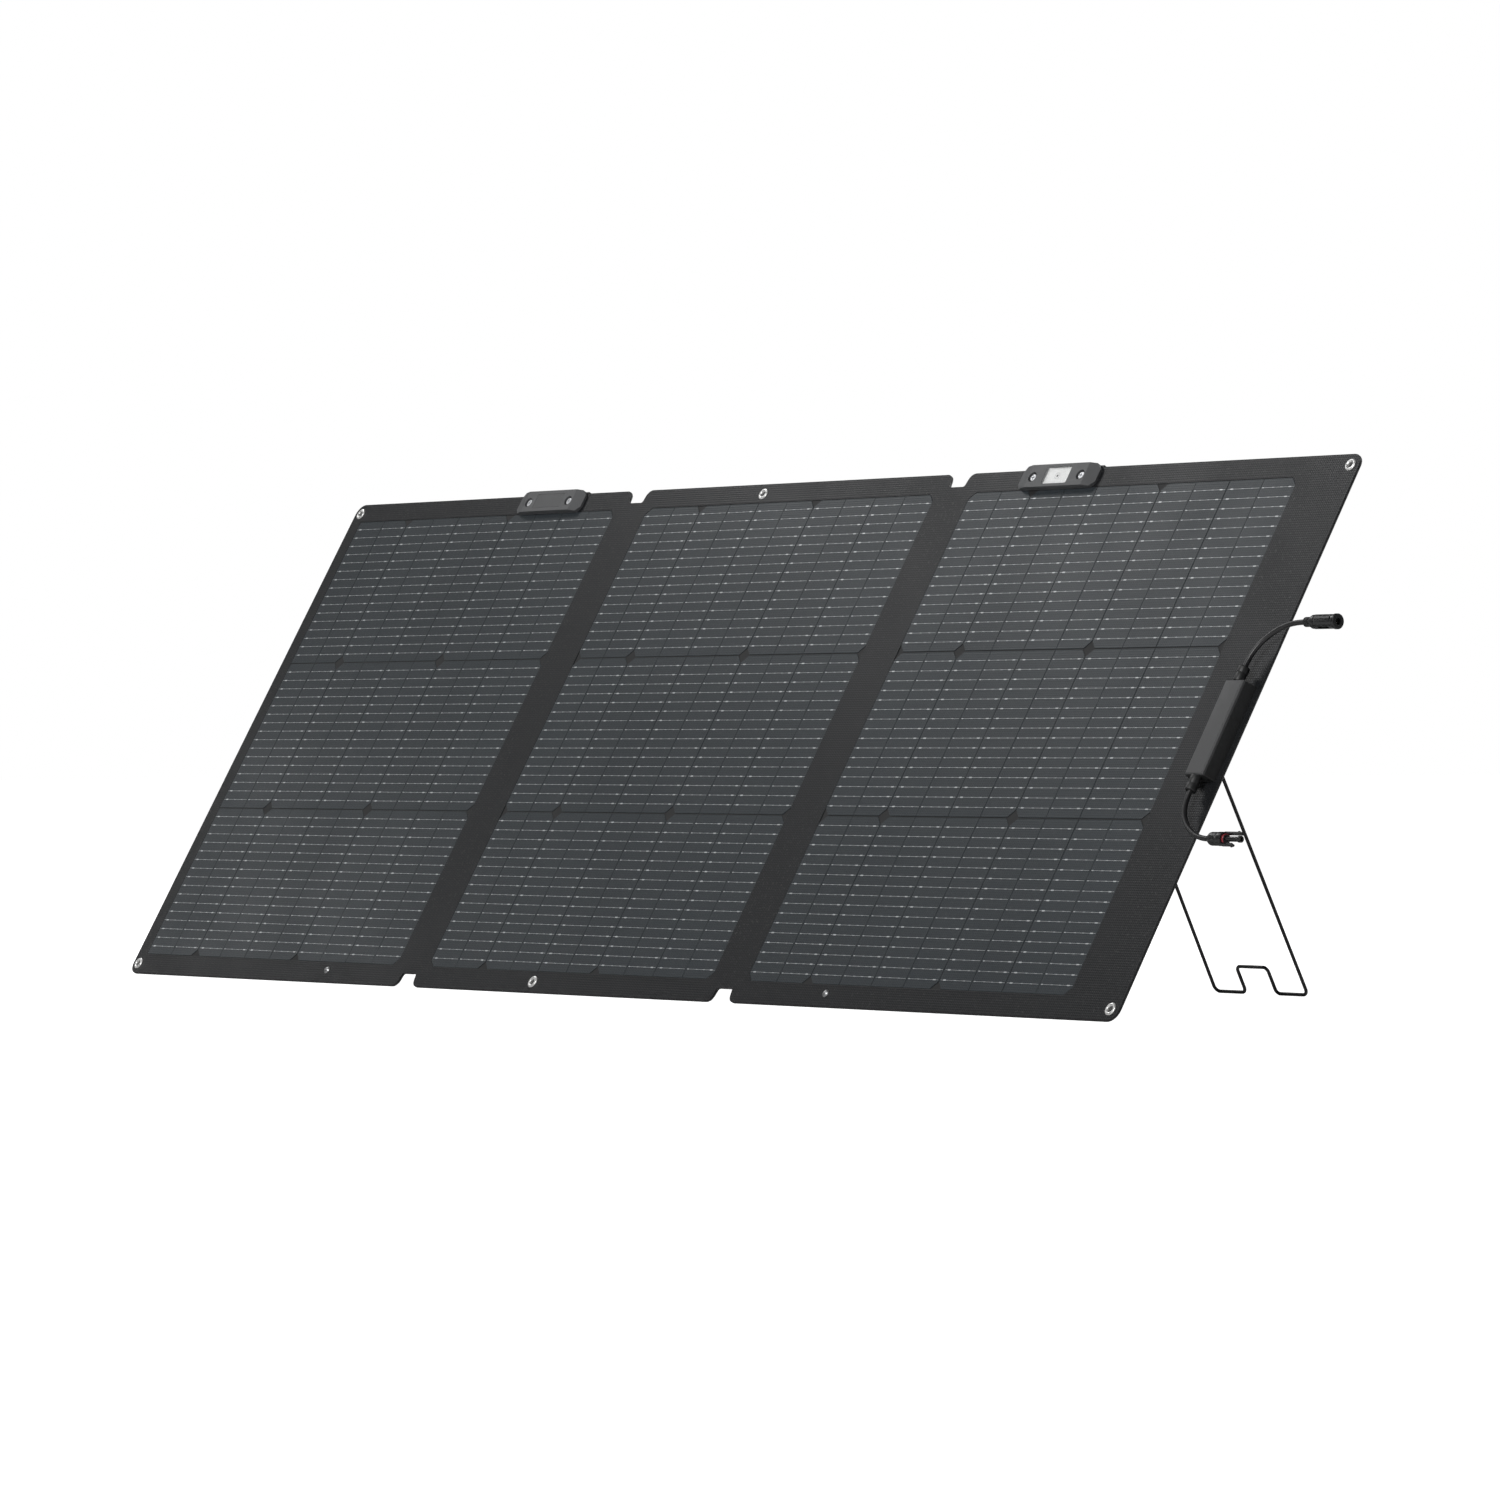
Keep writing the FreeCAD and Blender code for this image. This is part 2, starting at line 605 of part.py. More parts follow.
def lead(name, route):
    """A lead along its route, with each arc as large as its two runs allow. Prints its radii and length."""
    places = [V(u, v, LEAD_N) for u, v in route]
    points = [(*places[0], 0.0)]
    radii = []
    last = len(places) - 1
    for i in range(1, last):
        back = places[i] - places[i - 1]
        ahead = places[i + 1] - places[i]
        share = min(back.Length * (0.95 if i == 1 else 0.48), ahead.Length * (0.95 if i == last - 1 else 0.48))
        radii.append(share / math.tan(back.getAngle(ahead) / 2))
        points.append((*places[i], radii[-1]))
    points.append((*places[-1], 0.0))
    length = Part.Wire(rounded_edges(points, False)).Length
    solid = sweep(points, LEAD_R)
    spare = solid.Volume / (math.pi * LEAD_R**2 * length) - 1
    print(name, "length", round(length, 1), "radii", [round(r, 1) for r in radii], "volume error", round(spare, 5))
    return solid


def turned(u, v, profile):
    """A turned piece along +u. The profile is a list of (distance along, radius) with closed ends on the axis."""
    points = [V(u + profile[0][0], v, LEAD_N)]
    points += [V(u + a, v, LEAD_N + r) for a, r in profile]
    points += [V(u + profile[-1][0], v, LEAD_N)]
    face = Part.Face(Part.makePolygon(points + points[:1]))
    return face.revolve(V(u, v, LEAD_N), V(1, 0, 0), 360)


def bar_along(u, v, radius, length):
    """A round bar along +u on the leads' height."""
    return Part.makeCylinder(radius, length, V(u, v, LEAD_N), V(1, 0, 0))


def grip_grooves(u, v, radius, length, count, size):
    """Round grooves around a clamping nut."""
    grooves = []
    for i in range(count):
        angle = 2 * math.pi * i / count
        place = V(u, v + radius * math.cos(angle), LEAD_N + radius * math.sin(angle))
        grooves.append(Part.makeCylinder(size, length, place, V(1, 0, 0)))
    return grooves


def socket_connector(end):
    """The socket half: a ribbed collar, a body with a rib and two latch slots, and a contact tube inside."""
    u, v = end
    start = u + CONNECTOR_NUT_LENGTH
    length = CONNECTOR_BODY_LENGTH
    r = CONNECTOR_BODY_R
    ribs = []
    for i in range(3):
        a = 2.0 * i
        ribs += [(a, 4.1), (a + 0.2, 4.6), (a + 1.2, 4.6), (a + 1.4, 4.1)]
    nut = turned(u, v, ribs + [(6.2, 4.4), (10.5, 6.4), (14.0, r), (15.0, r)])
    body = turned(
        start,
        v,
        [(0.0, r - 0.3), (1.0, r), (length - 4.0, r), (length - 3.4, r + 0.5), (length - 0.6, r + 0.5), (length, r)],
    )
    rib = block((start + 2.0, start + length - 6.0), (v - 1.1, v + 1.1), (LEAD_N + r - 1.5, LEAD_N + r + 0.8))
    mouth = bar_along(start + length - 20.0, v, SOCKET_BORE_R, 21.0)
    slots = []
    for side in (-1, 1):
        low = v + side * r - 1.6
        slots.append(block((start + 5.0, start + 19.0), (low, low + 3.2), (LEAD_N - 1.9, LEAD_N + 1.9)))
    contact = bar_along(start + length - 20.0, v, 1.8, 17.0)
    contact = contact.cut(bar_along(start + length - 18.0, v, 1.25, 16.0))
    return {
        "socket_nut": [nut],
        "socket_body": [body.fuse(rib).cut([mouth] + slots)],
        "socket_contact": [contact],
    }


def plug_connector(end):
    """The plug half: a ribbed nut, a collar with a seal ring, a hollow nose with the pin, and two latch arms."""
    u, v = end
    start = u + CONNECTOR_NUT_LENGTH
    r = CONNECTOR_BODY_R - 0.2
    nut = turned(u, v, [(0.0, 3.2), (4.5, 6.0), (6.0, 6.3), (14.2, 6.3), (15.0, 5.8)])
    body = turned(
        start,
        v,
        [
            (0.0, r - 0.5),
            (0.6, r),
            (7.0, r),
            (7.0, 4.0),
            (10.0, 4.0),
            (10.0, NOSE_R),
            (24.0, NOSE_R),
            (26.0, NOSE_R + 0.7),
            (29.0, NOSE_R + 0.7),
        ],
    )
    arms = []
    for side, reach in ((-1, 21.0), (1, 27.0)):
        inner = v + side * 4.9
        outer = v + side * 6.6
        hook = v + side * 7.6
        arms.append(block((start + 5.5, start + reach), sorted((inner, outer)), (LEAD_N - 2.1, LEAD_N + 2.1)))
        tip = [(start + reach - 4.5, outer), (start + reach - 3.5, hook), (start + reach, outer)]
        corners = [V(a, b, LEAD_N - 2.1) for a, b in tip]
        arms.append(Part.Face(Part.makePolygon(corners + corners[:1])).extrude(V(0, 0, 4.2)))
    hollow = bar_along(start + 16.0, v, NOSE_BORE_R, 20.0)
    seal = turned(start + 7.4, v, [(0.0, 4.7), (0.3, 4.85), (1.4, 4.85), (1.7, 4.7)])
    return {
        "plug_nut": [nut.cut(grip_grooves(u + 6.0, v, 6.6, 7.0, 12, 0.6))],
        "plug_body": [body.fuse(arms).removeSplitter().cut(hollow)],
        "plug_seal": [seal.cut(bar_along(start, v, 4.1, 20.0))],
        "plug_pin": [bar_along(start + 16.0, v, 1.2, 11.0)],
    }


def stand_up(solid):
    """Tip the flat panel back onto its lower edge and bring the origin under its middle."""
    solid.translate(V(-WIDTH / 2, 0, 0))
    solid.rotate(V(0, 0, 0), V(1, 0, 0), TILT)
    solid.translate(V(0, -DEPTH / 2, FLOOR_LIFT))
    return solid


nodes = {}
for leaf in LEAVES:
    nodes.update(laminate(leaf))
    nodes[leaf + "_eyelets"] = [piece for u, v in EYELETS[leaf] for piece in eyelet(u, v)]
for side in STRIPS:
    nodes.update(hinge_strip(side))
for side, middle in STANDS.items():
    nodes.update(front_block(side))
    nodes[side + "_bracket"] = [rear_bracket(middle)]
    nodes[side + "_stand_wire"] = [stand_wire(middle)]
    nodes[side + "_stand_clip"] = [stand_clip(middle)]
    nodes[side + "_clip_rivet"] = [rivet(middle)]
nodes.update(cable_box())
nodes.update(glands())
nodes["upper_lead"] = [lead("upper_lead", UPPER_ROUTE)]
nodes["lower_lead"] = [lead("lower_lead", LOWER_ROUTE)]
nodes.update(socket_connector(UPPER_ROUTE[-1]))
nodes.update(plug_connector(LOWER_ROUTE[-1]))

for name, pieces in nodes.items():
    solids = [stand_up(solid) for piece in pieces for solid in piece.Solids]
    shape = solids[0] if len(solids) == 1 else Part.makeCompound(solids)
    if not shape.isValid():
        raise ValueError(name + " is not a valid shape")
    shape.exportStep("parts/" + name + ".step")
print(len(nodes), "nodes, open angle", round(OPEN_ANGLE, 3), "leg angle", round(LEG_ANGLE, 3), "depth", round(DEPTH, 2))
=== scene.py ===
"""A folding camping solar panel: the looks of its leaves, cells, hinges, stands, cable box and leads.

Lengths in the leaf's own frame are millimetres: u runs along the width, v runs up the leaf and n comes out of
its front, with n = 0 on the front film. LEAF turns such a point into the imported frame, in metres.
"""

import math

import bmesh
import bpy
from mathutils import Matrix, Vector


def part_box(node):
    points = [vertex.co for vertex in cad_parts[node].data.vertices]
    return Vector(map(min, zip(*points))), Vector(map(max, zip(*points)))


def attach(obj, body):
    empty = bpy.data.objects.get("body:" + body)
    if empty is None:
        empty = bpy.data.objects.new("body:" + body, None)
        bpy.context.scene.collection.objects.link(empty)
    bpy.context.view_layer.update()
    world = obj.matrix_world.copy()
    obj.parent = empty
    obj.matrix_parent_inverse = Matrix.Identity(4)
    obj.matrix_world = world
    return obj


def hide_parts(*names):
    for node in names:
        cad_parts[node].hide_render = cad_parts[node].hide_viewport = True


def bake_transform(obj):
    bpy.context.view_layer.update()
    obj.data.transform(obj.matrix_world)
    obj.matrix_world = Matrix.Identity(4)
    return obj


bl_info = {
    "name": "Folding Solar Panel",
    "version": (1, 0, 0),
    "blender": (4, 5, 0),
    "location": "View3D > Sidebar > Solar Panel",
    "description": "Dresses the packed folding solar panel with its films, cells, hinges, leads and stage",
    "category": "Add Mesh",
}

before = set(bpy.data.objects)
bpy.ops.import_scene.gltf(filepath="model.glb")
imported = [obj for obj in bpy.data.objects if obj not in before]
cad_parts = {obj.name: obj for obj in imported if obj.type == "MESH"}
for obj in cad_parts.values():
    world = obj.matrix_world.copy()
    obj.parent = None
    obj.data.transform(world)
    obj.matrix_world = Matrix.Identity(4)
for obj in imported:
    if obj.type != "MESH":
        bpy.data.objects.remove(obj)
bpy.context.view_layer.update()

MM = 0.001
TILT = math.radians(59.4)
WIDTH = 1636.0
HEIGHT = 600.0
FILM_T = 0.6
BACK_N = -3.0  # the back of the leaf

film_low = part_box("left_front_film")[0]
LEAF = Matrix(
    (
        (MM, 0.0, 0.0, film_low.x),
        (0.0, MM * math.cos(TILT), -MM * math.sin(TILT), film_low.y),
        (0.0, MM * math.sin(TILT), MM * math.cos(TILT), film_low.z + FILM_T * MM * math.cos(TILT)),
        (0.0, 0.0, 0.0, 1.0),
    )
)

OUTWARD = Vector((0.0, -math.sin(TILT), math.cos(TILT)))  # out of the leaf's front
FLAT_FACE = 0.9999  # how close to OUTWARD a flat face looks

CORNER_R = 12.5
NOTCHES = (524.0, 1055.6)
NOTCH_HALF = 12.0
NOTCH_FLARE = 2.5
NOTCH_DEPTH = 15.3
NOTCH_MOUTH_R = 9.0
NOTCH_ROOT_R = 3.0
CREASES = {"left": (513.5, 524.5), "right": (1068.6, 1042.6)}  # on the side leaf, on the middle leaf
BEND_HALF = 4.0  # how far the cloth bends on each side of a crease
LEAVES = {
    "left": (0.0, CREASES["left"][0] - BEND_HALF),
    "middle": (CREASES["left"][1] + BEND_HALF, CREASES["right"][1] - BEND_HALF),
    "right": (CREASES["right"][0] + BEND_HALF, WIDTH),
}
CELL_STARTS = {"left": 18.7, "middle": 551.7, "right": 1083.4}
COLUMNS = 10
COLUMN_PITCH = 47.8
CELL_WIDTH = 45.6
ROWS = 3
ROW_PITCH = 184.9
CELL_HEIGHT = 182.6
CELLS_V = 24.3
CELL_CUT = 8.0  # the wafer's cut corner
CELL_N = -0.12  # the top of the cells
CELL_CHAMFER = 0.12
GROWTH_IN_PAIR = 0.85  # how far a cell reaches past its width towards the other one of its pair
GROWTH_BESIDE_PAIR = 0.7
GROWTH_AT_END = 0.3
GROWTH_BETWEEN_ROWS = 0.5
FIELD_MARGIN = 0.4
TONE_STEPS = (5.1, 2.7, 1.9, 0.3)  # of the tone's wave, by leaf, row, pair and column
TONE_RANGE = 0.35
RIBBONS_PER_ROW = 16
RIBBON_PITCH = 10.87
RIBBON_N = -0.03
RIBBON_CHAMFER = 0.06
PAD_N = 0.03
PAD_CHAMFER = 0.08
PAIR_START = -1.1  # where the wide gap between pairs of columns starts, from the edge of the cell
RUNS = ((1.8, 46.0), (49.6, 94.0))  # the two lengths of ribbon along a pair, from the wide gap
PADS = (  # along a pair: where each pad is, how long and how wide it is, from the wide gap
    (7.6, 4.6, 1.30),
    (22.8, 3.2, 0.55),
    (36.0, 3.2, 0.55),
    (51.2, 2.8, 0.85),
    (64.8, 3.2, 0.55),
    (76.4, 3.2, 0.55),
    (88.2, 4.6, 1.15),
)
EYELETS = {
    "left": ((10.5, 12.0), (10.5, 588.0)),
    "middle": ((742.0, 12.0), (742.0, 588.0)),
    "right": ((1624.0, 12.0), (1624.0, 588.0)),
}
EYELET_HOLE_R = 3.7
BACK_SHEET_N = (-2.7, -1.2)
BACK_SHEET_EDGE = 0.5
BACK_PANEL_N = (BACK_N, -2.6)  # the raised middle of the back
BACK_PANEL_EDGE = 0.19
BACK_PANEL_INSET = 8.0
CLOTH_MIDDLE_N = -1.6  # where the hinge's film meets its fabric
CLOTH_BACK_N = BACK_N + 0.3
SEAM_REACH = 0.6
WELD_GAP = 0.001
STANDS = {"left": 373.4, "right": 1212.0}
BLOCK_V = (576.3, 601.8)
DIAL_SHIFT = -0.6  # from the middle of the block
DIAL_N = 4.4
MARK_T = 0.06
DOT_R = 1.4
RING_R = (3.4, 3.6)
LEAD_N = 10.0
LEAD_DIAMETER = 5.0
UPPER_ROUTE = ((1614.5, 363.5), (1614.5, 374.0), (1621.7, 391.1), (1636.2, 403.8), (1654.5, 411.0), (1670.7, 411.0))
LOWER_ROUTE = ((1614.5, 232.5), (1614.5, 221.6), (1621.0, 206.4), (1634.5, 193.2), (1655.0, 183.3), (1667.6, 183.3))

# The stage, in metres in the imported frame. A light has its place, what it faces and its size.
LIGHTS = {
    "key": ((-3.1, -0.5, 3.3), (0.2, 0.0, 0.3), (1.2, 1.2)),
    "fill": ((-3.6, -1.2, 1.5), (0.2, 0.0, 0.3), (0.9, 0.9)),
    "front": ((1.5, -4.9, 3.5), (0.1, 0.0, 0.2), (2.6, 2.0)),
    "back": ((1.2, 3.6, 2.6), (0.0, 0.1, 0.3), (2.4, 1.6)),
}
FLOOR_SIZE = 40.0
GLOW_SPAN = (1.0, 4.5)  # how far out the floor's glow starts to rise and where it is full
CAMERA_PLACE = (5.2656, -4.1469, 0.2441)
CAMERA_TURN = math.radians(52.18)

WELD_DISTANCE = 0.000002  # metres
SHARP_EDGE = math.radians(28)  # edges of a CAD node that turn more than this are rounded

# What lies on the finishes, as linear colours, and the cells' fine fingers.
FILM_DUST = (0.15, 0.15, 0.145)
CLOTH_DUST = (0.25, 0.24, 0.23)
FINGER = (0.22, 0.23, 0.235)
FINGER_PITCH = 0.0013  # metres
FINGER_SHARE = 0.06


# ---- what a user may change


def length_property(name, description, default, top):
    """A length in millimetres."""
    return bpy.props.FloatProperty(name=name, description=description, default=default, min=0.0, max=top, precision=3)


def colour_property(name, description, default):
    """A linear colour."""
    return bpy.props.FloatVectorProperty(
        name=name, description=description, default=default, size=3, min=0.0, max=1.0, subtype="COLOR"
    )


class PanelSizes(bpy.types.PropertyGroup):
    """Sizes of the fine detail, in millimetres."""

    emboss_pitch: length_property("Emboss pitch", "Spacing of the film's dimples, in mm", 2.6, 10.0)
    emboss_depth: length_property("Emboss depth", "Depth of the film's dimples, in mm", 0.10, 1.0)
    weave_pitch: length_property("Weave pitch", "Spacing of the back fabric's threads, in mm", 0.9, 5.0)
    weave_depth: length_property("Weave depth", "Height of the back fabric's threads, in mm", 0.18, 1.0)
    film_edge: length_property("Film edge", "Rounding of the film's outer edge, in mm", 0.25, 0.3)
    ribbon_width: length_property("Ribbon width", "Width of a ribbon between its pads, in mm", 0.28, 2.0)
    moulding_round: length_property("Moulding rounding", "Rounding of moulded edges, in mm", 0.45, 2.0)


class PanelColours(bpy.types.PropertyGroup):
    """Colours of the finishes."""

    film: colour_property("Film", "Charcoal border film", (0.0088, 0.0094, 0.0106))
    cell: colour_property("Cell", "Silicon under the film", (0.0225, 0.0275, 0.0315))
    gap: colour_property("Gap", "Insulating sheet between the cells", (0.0085, 0.009, 0.0095))
    ribbon: colour_property("Ribbon", "Tinned ribbons and pads", (0.62, 0.64, 0.65))
    back: colour_property("Back fabric", "Woven back", (0.022, 0.023, 0.025))
    block: colour_property("Block", "Dark grey nylon of the front blocks", (0.075, 0.077, 0.080))
    black: colour_property("Black nylon", "Brackets, clips, glands and connectors", (0.014, 0.0145, 0.015))
    cover: colour_property("Box cover", "Dark grey cover of the cable box", (0.050, 0.051, 0.053))
    label: colour_property("Label plate", "Plain plate in the left block", (0.057, 0.059, 0.061))
    dial: colour_property("Dial", "White dial of the sun finder", (0.94, 0.94, 0.93))
    wire: colour_property("Wire", "Powder coat of the stands", (0.008, 0.008, 0.009))
    seal: colour_property("Seal ring", "Red silicone ring of the plug", (0.30, 0.035, 0.045))


class PanelStage(bpy.types.PropertyGroup):
    """The stage around the panel."""

    key_power: bpy.props.FloatProperty(
        name="Key power", description="Power of the large soft light", default=37.0, min=0.0, unit="POWER"
    )
    fill_power: bpy.props.FloatProperty(
        name="Fill power", description="Power of the low light on the left", default=6.7, min=0.0, unit="POWER"
    )
    front_power: bpy.props.FloatProperty(
        name="Front power", description="Power of the wide light in front", default=222.0, min=0.0, unit="POWER"
    )
    back_power: bpy.props.FloatProperty(
        name="Back power", description="Power of the light behind the panel", default=90.0, min=0.0, unit="POWER"
    )
    sky: bpy.props.FloatProperty(
        name="Sky strength", description="Strength of the even studio light", default=0.04, min=0.0
    )
    floor_glow: bpy.props.FloatProperty(
        name="Floor glow",
        description="How far the floor is lifted towards white where it is seen",
        default=0.88,
        min=0.0,
    )
    focal_length: bpy.props.FloatProperty(
        name="Focal length", description="Focal length of the camera in mm", default=157.9, min=10.0
    )


# ---- shader nodes


class Tree:
    """Short ways to place and link nodes in a material or a group."""

    def __init__(self, tree):
        self.tree = tree

    def add(self, kind, inputs=None, **settings):
        """A node of the kind, with its settings, and its inputs set or linked."""
        node = self.tree.nodes.new("ShaderNode" + kind)
        for key, value in settings.items():
            setattr(node, key, value)
        for key, value in (inputs or {}).items():
            self.feed(node, key, value)
        return node

    def feed(self, node, key, value):
        """Set an input, or link it when the value is a socket."""
        if isinstance(value, bpy.types.NodeSocket):
            self.tree.links.new(value, node.inputs[key])
        else:
            node.inputs[key].default_value = value

    def math(self, operation, a, b=0.0):
        """The result of a Math node."""
        return self.add("Math", {0: a, 1: b}, operation=operation).outputs[0]

    def spread(self, value, low, high, start=0.0, end=1.0):
        """The value's range low to high turned into start to end, clamped."""
        inputs = {"Value": value, "From Min": low, "From Max": high, "To Min": start, "To Max": end}
        return self.add("MapRange", inputs).outputs["Result"]

    def mix(self, factor, a, b):
        """A mix of two colours."""
        node = self.add("Mix", data_type="RGBA")
        for index, value in ((0, factor), (6, a), (7, b)):
            self.feed(node, index, value if isinstance(value, bpy.types.NodeSocket) or index == 0 else (*value, 1.0))
        return node.outputs[2]


def shade(colour, factor):
    """The colour, lighter or darker."""
    return tuple(min(1.0, channel * factor) for channel in colour)


def new_group(name, inputs, outputs):
    """An empty node group with its sockets, as (group, tree, input node, output node)."""
    group = bpy.data.node_groups.new(name, "ShaderNodeTree")
    for label, kind, default in inputs:
        socket = group.interface.new_socket(name=label, in_out="INPUT", socket_type="NodeSocket" + kind)
        socket.default_value = default
    for label, kind in outputs:
        group.interface.new_socket(name=label, in_out="OUTPUT", socket_type="NodeSocket" + kind)
    tree = Tree(group)
    return group, tree, group.nodes.new("NodeGroupInput"), group.nodes.new("NodeGroupOutput")


def leaf_place(tree):
    """The point turned so that X, Y and Z run along u, v and n, in metres: as one vector and taken apart."""
    place = tree.add("TexCoord").outputs["Object"]
    turned = tree.add("Mapping", {"Vector": place, "Rotation": (-TILT, 0.0, 0.0)}, vector_type="POINT")
    return turned.outputs[0], tree.add("SeparateXYZ", {0: turned.outputs[0]})


def make_emboss_group():
    """Square lattice of shallow dimples that the film is pressed with, and a mask of the pits, which the film's colour
    darkens as painted shade.
    """
    group, tree, given, result = new_group(
        "Film emboss", [("Pitch", "Float", 0.0022)], [("Height", "Float"), ("Dimple shade", "Float")]
    )
    _, uvn = leaf_place(tree)
    squares = []
    for axis in ("X", "Y"):
        cell = tree.math("FRACT", tree.math("DIVIDE", uvn.outputs[axis], given.outputs["Pitch"]))
        off = tree.math("SUBTRACT", cell, 0.5)
        squares.append(tree.math("MULTIPLY", off, off))
    distance = tree.math("SQRT", tree.math("ADD", *squares))
    dimple = tree.spread(distance, 0.40, 0.12)
    tree.feed(result, "Height", tree.math("SUBTRACT", 1.0, dimple))
    tree.feed(result, "Dimple shade", dimple)
    return group


def make_weave_group():
    """Plain weave: each thread goes over one and under the next."""
    group, tree, given, result = new_group(
        "Plain weave", [("Pitch", "Float", 0.0009)], [("Height", "Float"), ("Crown", "Float")]
    )
    place, uvn = leaf_place(tree)
    waves = []
    for axis in ("X", "Y"):
        turn = tree.math("MULTIPLY", tree.math("DIVIDE", uvn.outputs[axis], given.outputs["Pitch"]), math.pi)
        waves.append(tree.math("SINE", turn))
    over = tree.math("GREATER_THAN", tree.math("MULTIPLY", *waves), 0.0)
    warp = tree.math("MULTIPLY", tree.math("ABSOLUTE", waves[0]), over)
    weft = tree.math("MULTIPLY", tree.math("ABSOLUTE", waves[1]), tree.math("SUBTRACT", 1.0, over))
    threads = tree.math("ADD", warp, weft)
    slub = tree.add("TexNoise", {"Vector": place, "Scale": 900.0, "Detail": 2.0}).outputs[0]
    tree.feed(result, "Height", tree.math("ADD", threads, tree.math("MULTIPLY", slub, 0.3)))
    tree.feed(result, "Crown", threads)
    return group


def make_grain_group():
    """Fine spark-eroded grain of moulded plastic, and the cloudiness of its colour."""
    group, tree, given, result = new_group(
        "Moulded grain", [("Scale", "Float", 1500.0)], [("Height", "Float"), ("Cloud", "Float")]
    )
    place = tree.add("TexCoord").outputs["Object"]
    fine = tree.add("TexNoise", {"Vector": place, "Scale": given.outputs["Scale"], "Detail": 3.0, "Roughness": 0.6})
    broad = tree.add("TexNoise", {"Vector": place, "Scale": 38.0, "Detail": 4.0, "Roughness": 0.55})
    tree.feed(result, "Height", fine.outputs[0])
    tree.feed(result, "Cloud", tree.spread(broad.outputs[0], 0.3, 0.7))
    return group


def make_wear_group():
    """Rubbed convex edges, broken up so that the wear is uneven."""
    group, tree, given, result = new_group(
        "Edge wear", [("Amount", "Float", 0.5)], [("Rubbed", "Float")]
    )
    place = tree.add("TexCoord").outputs["Object"]
    pointed = tree.add("NewGeometry").outputs["Pointiness"]
    patchy = tree.add("TexNoise", {"Vector": place, "Scale": 120.0, "Detail": 5.0, "Roughness": 0.7}).outputs[0]
    edge = tree.spread(pointed, 0.53, 0.62)
    broken = tree.math("MULTIPLY", edge, tree.spread(patchy, 0.35, 0.65))
    tree.feed(result, "Rubbed", tree.math("MULTIPLY", broken, given.outputs["Amount"]))
    return group


def make_handling_group():
    """Broad smudges and the fine dust that settles on a film."""
    group, tree, given, result = new_group(
        "Handling", [("Dust", "Float", 0.5)], [("Smudge", "Float"), ("Dust", "Float")]
    )
    place = tree.add("TexCoord").outputs["Object"]
    broad = tree.add("TexNoise", {"Vector": place, "Scale": 5.5, "Detail": 5.0, "Roughness": 0.6, "Distortion": 0.4})
    speck = tree.add("TexNoise", {"Vector": place, "Scale": 420.0, "Detail": 2.0}).outputs[0]
    smudge = tree.spread(broad.outputs[0], 0.35, 0.68)
    dust = tree.math("MULTIPLY", tree.spread(speck, 0.58, 0.75), given.outputs["Dust"])
    tree.feed(result, "Smudge", smudge)
    tree.feed(result, "Dust", tree.math("MULTIPLY", dust, smudge))
    return group


GROUPS = {}
FINISHES = {}


def placed(tree, name, **inputs):
    """A shared group placed in a material with its own values."""
    node = tree.add("Group", node_tree=GROUPS[name])
    for key, value in inputs.items():
        node.inputs[key.capitalize()].default_value = value
    return node


def new_finish(name, **constants):
    """A material with its tree and shader. The constants go on the shader's own sockets."""
    material = bpy.data.materials.new(name)
    material.use_nodes = True
    shader = material.node_tree.nodes["Principled BSDF"]
    for key, value in constants.items():
        shader.inputs[key.replace("_", " ")].default_value = value
    FINISHES[name] = material
    return Tree(material.node_tree), shader


def raise_by(tree, shader, height, distance):
    """Bump the shader's normal by a height, in metres."""
    bump = tree.add("Bump", {"Height": height, "Distance": distance, "Strength": 1.0})
    tree.feed(shader, "Normal", bump.outputs[0])


def film_finish(name, colour, sizes, roughness, dust, depth=1.0):
    """The embossed film, over the border or over a cell, with painted shade darkening its colour in the dimples."""
    tree, shader = new_finish(name, IOR=1.42, Specular_IOR_Level=0.25)
    emboss = placed(tree, "emboss", pitch=sizes.emboss_pitch * MM)
    handled = placed(tree, "handling", dust=dust)
    # Painted shade: the film's colour is darker in its dimples than on the land between them.
    tone = tree.mix(emboss.outputs["Dimple shade"], shade(colour, 1.30), shade(colour, 0.62))
    tone = tree.mix(tree.math("MULTIPLY", handled.outputs["Smudge"], 0.25), tone, shade(colour, 1.25))
    tone = tree.mix(handled.outputs["Dust"], tone, FILM_DUST)
    tree.feed(shader, "Roughness", tree.spread(handled.outputs["Smudge"], 0.0, 1.0, roughness - 0.04, roughness + 0.06))
    raise_by(tree, shader, emboss.outputs["Height"], sizes.emboss_depth * MM * depth)
    return tree, shader, tone


def make_film(sizes, colours):
    """The film of the border and the hinges."""
    tree, shader, tone = film_finish("border_film", colours.film, sizes, 0.40, 0.25)
    tree.feed(shader, "Base Color", tone)


def make_cell(sizes, colours):
    """Silicon with its fine fingers and a small difference from cell to cell."""
    tree, shader, tone = film_finish("cell_film", colours.cell, sizes, 0.38, 0.2, depth=0.7)
    _, uvn = leaf_place(tree)
    own = tree.add("Attribute", attribute_name="cell_tone").outputs["Fac"]
    tone = tree.mix(own, tone, shade(colours.cell, 1.35))
    finger = tree.math("FRACT", tree.math("DIVIDE", uvn.outputs["X"], FINGER_PITCH))
    line = tree.math("MULTIPLY", tree.math("LESS_THAN", finger, FINGER_SHARE), 0.25)
    tree.feed(shader, "Base Color", tree.mix(line, tone, FINGER))


def make_gap(sizes, colours):
    """The dark sheet that shows between the cells."""
    tree, shader = new_finish("gap_sheet", Roughness=0.7)
    grain = placed(tree, "grain", scale=900.0)
    tree.feed(shader, "Base Color", tree.mix(grain.outputs["Cloud"], shade(colours.gap, 0.8), shade(colours.gap, 1.2)))
    raise_by(tree, shader, grain.outputs["Height"], 0.00003)


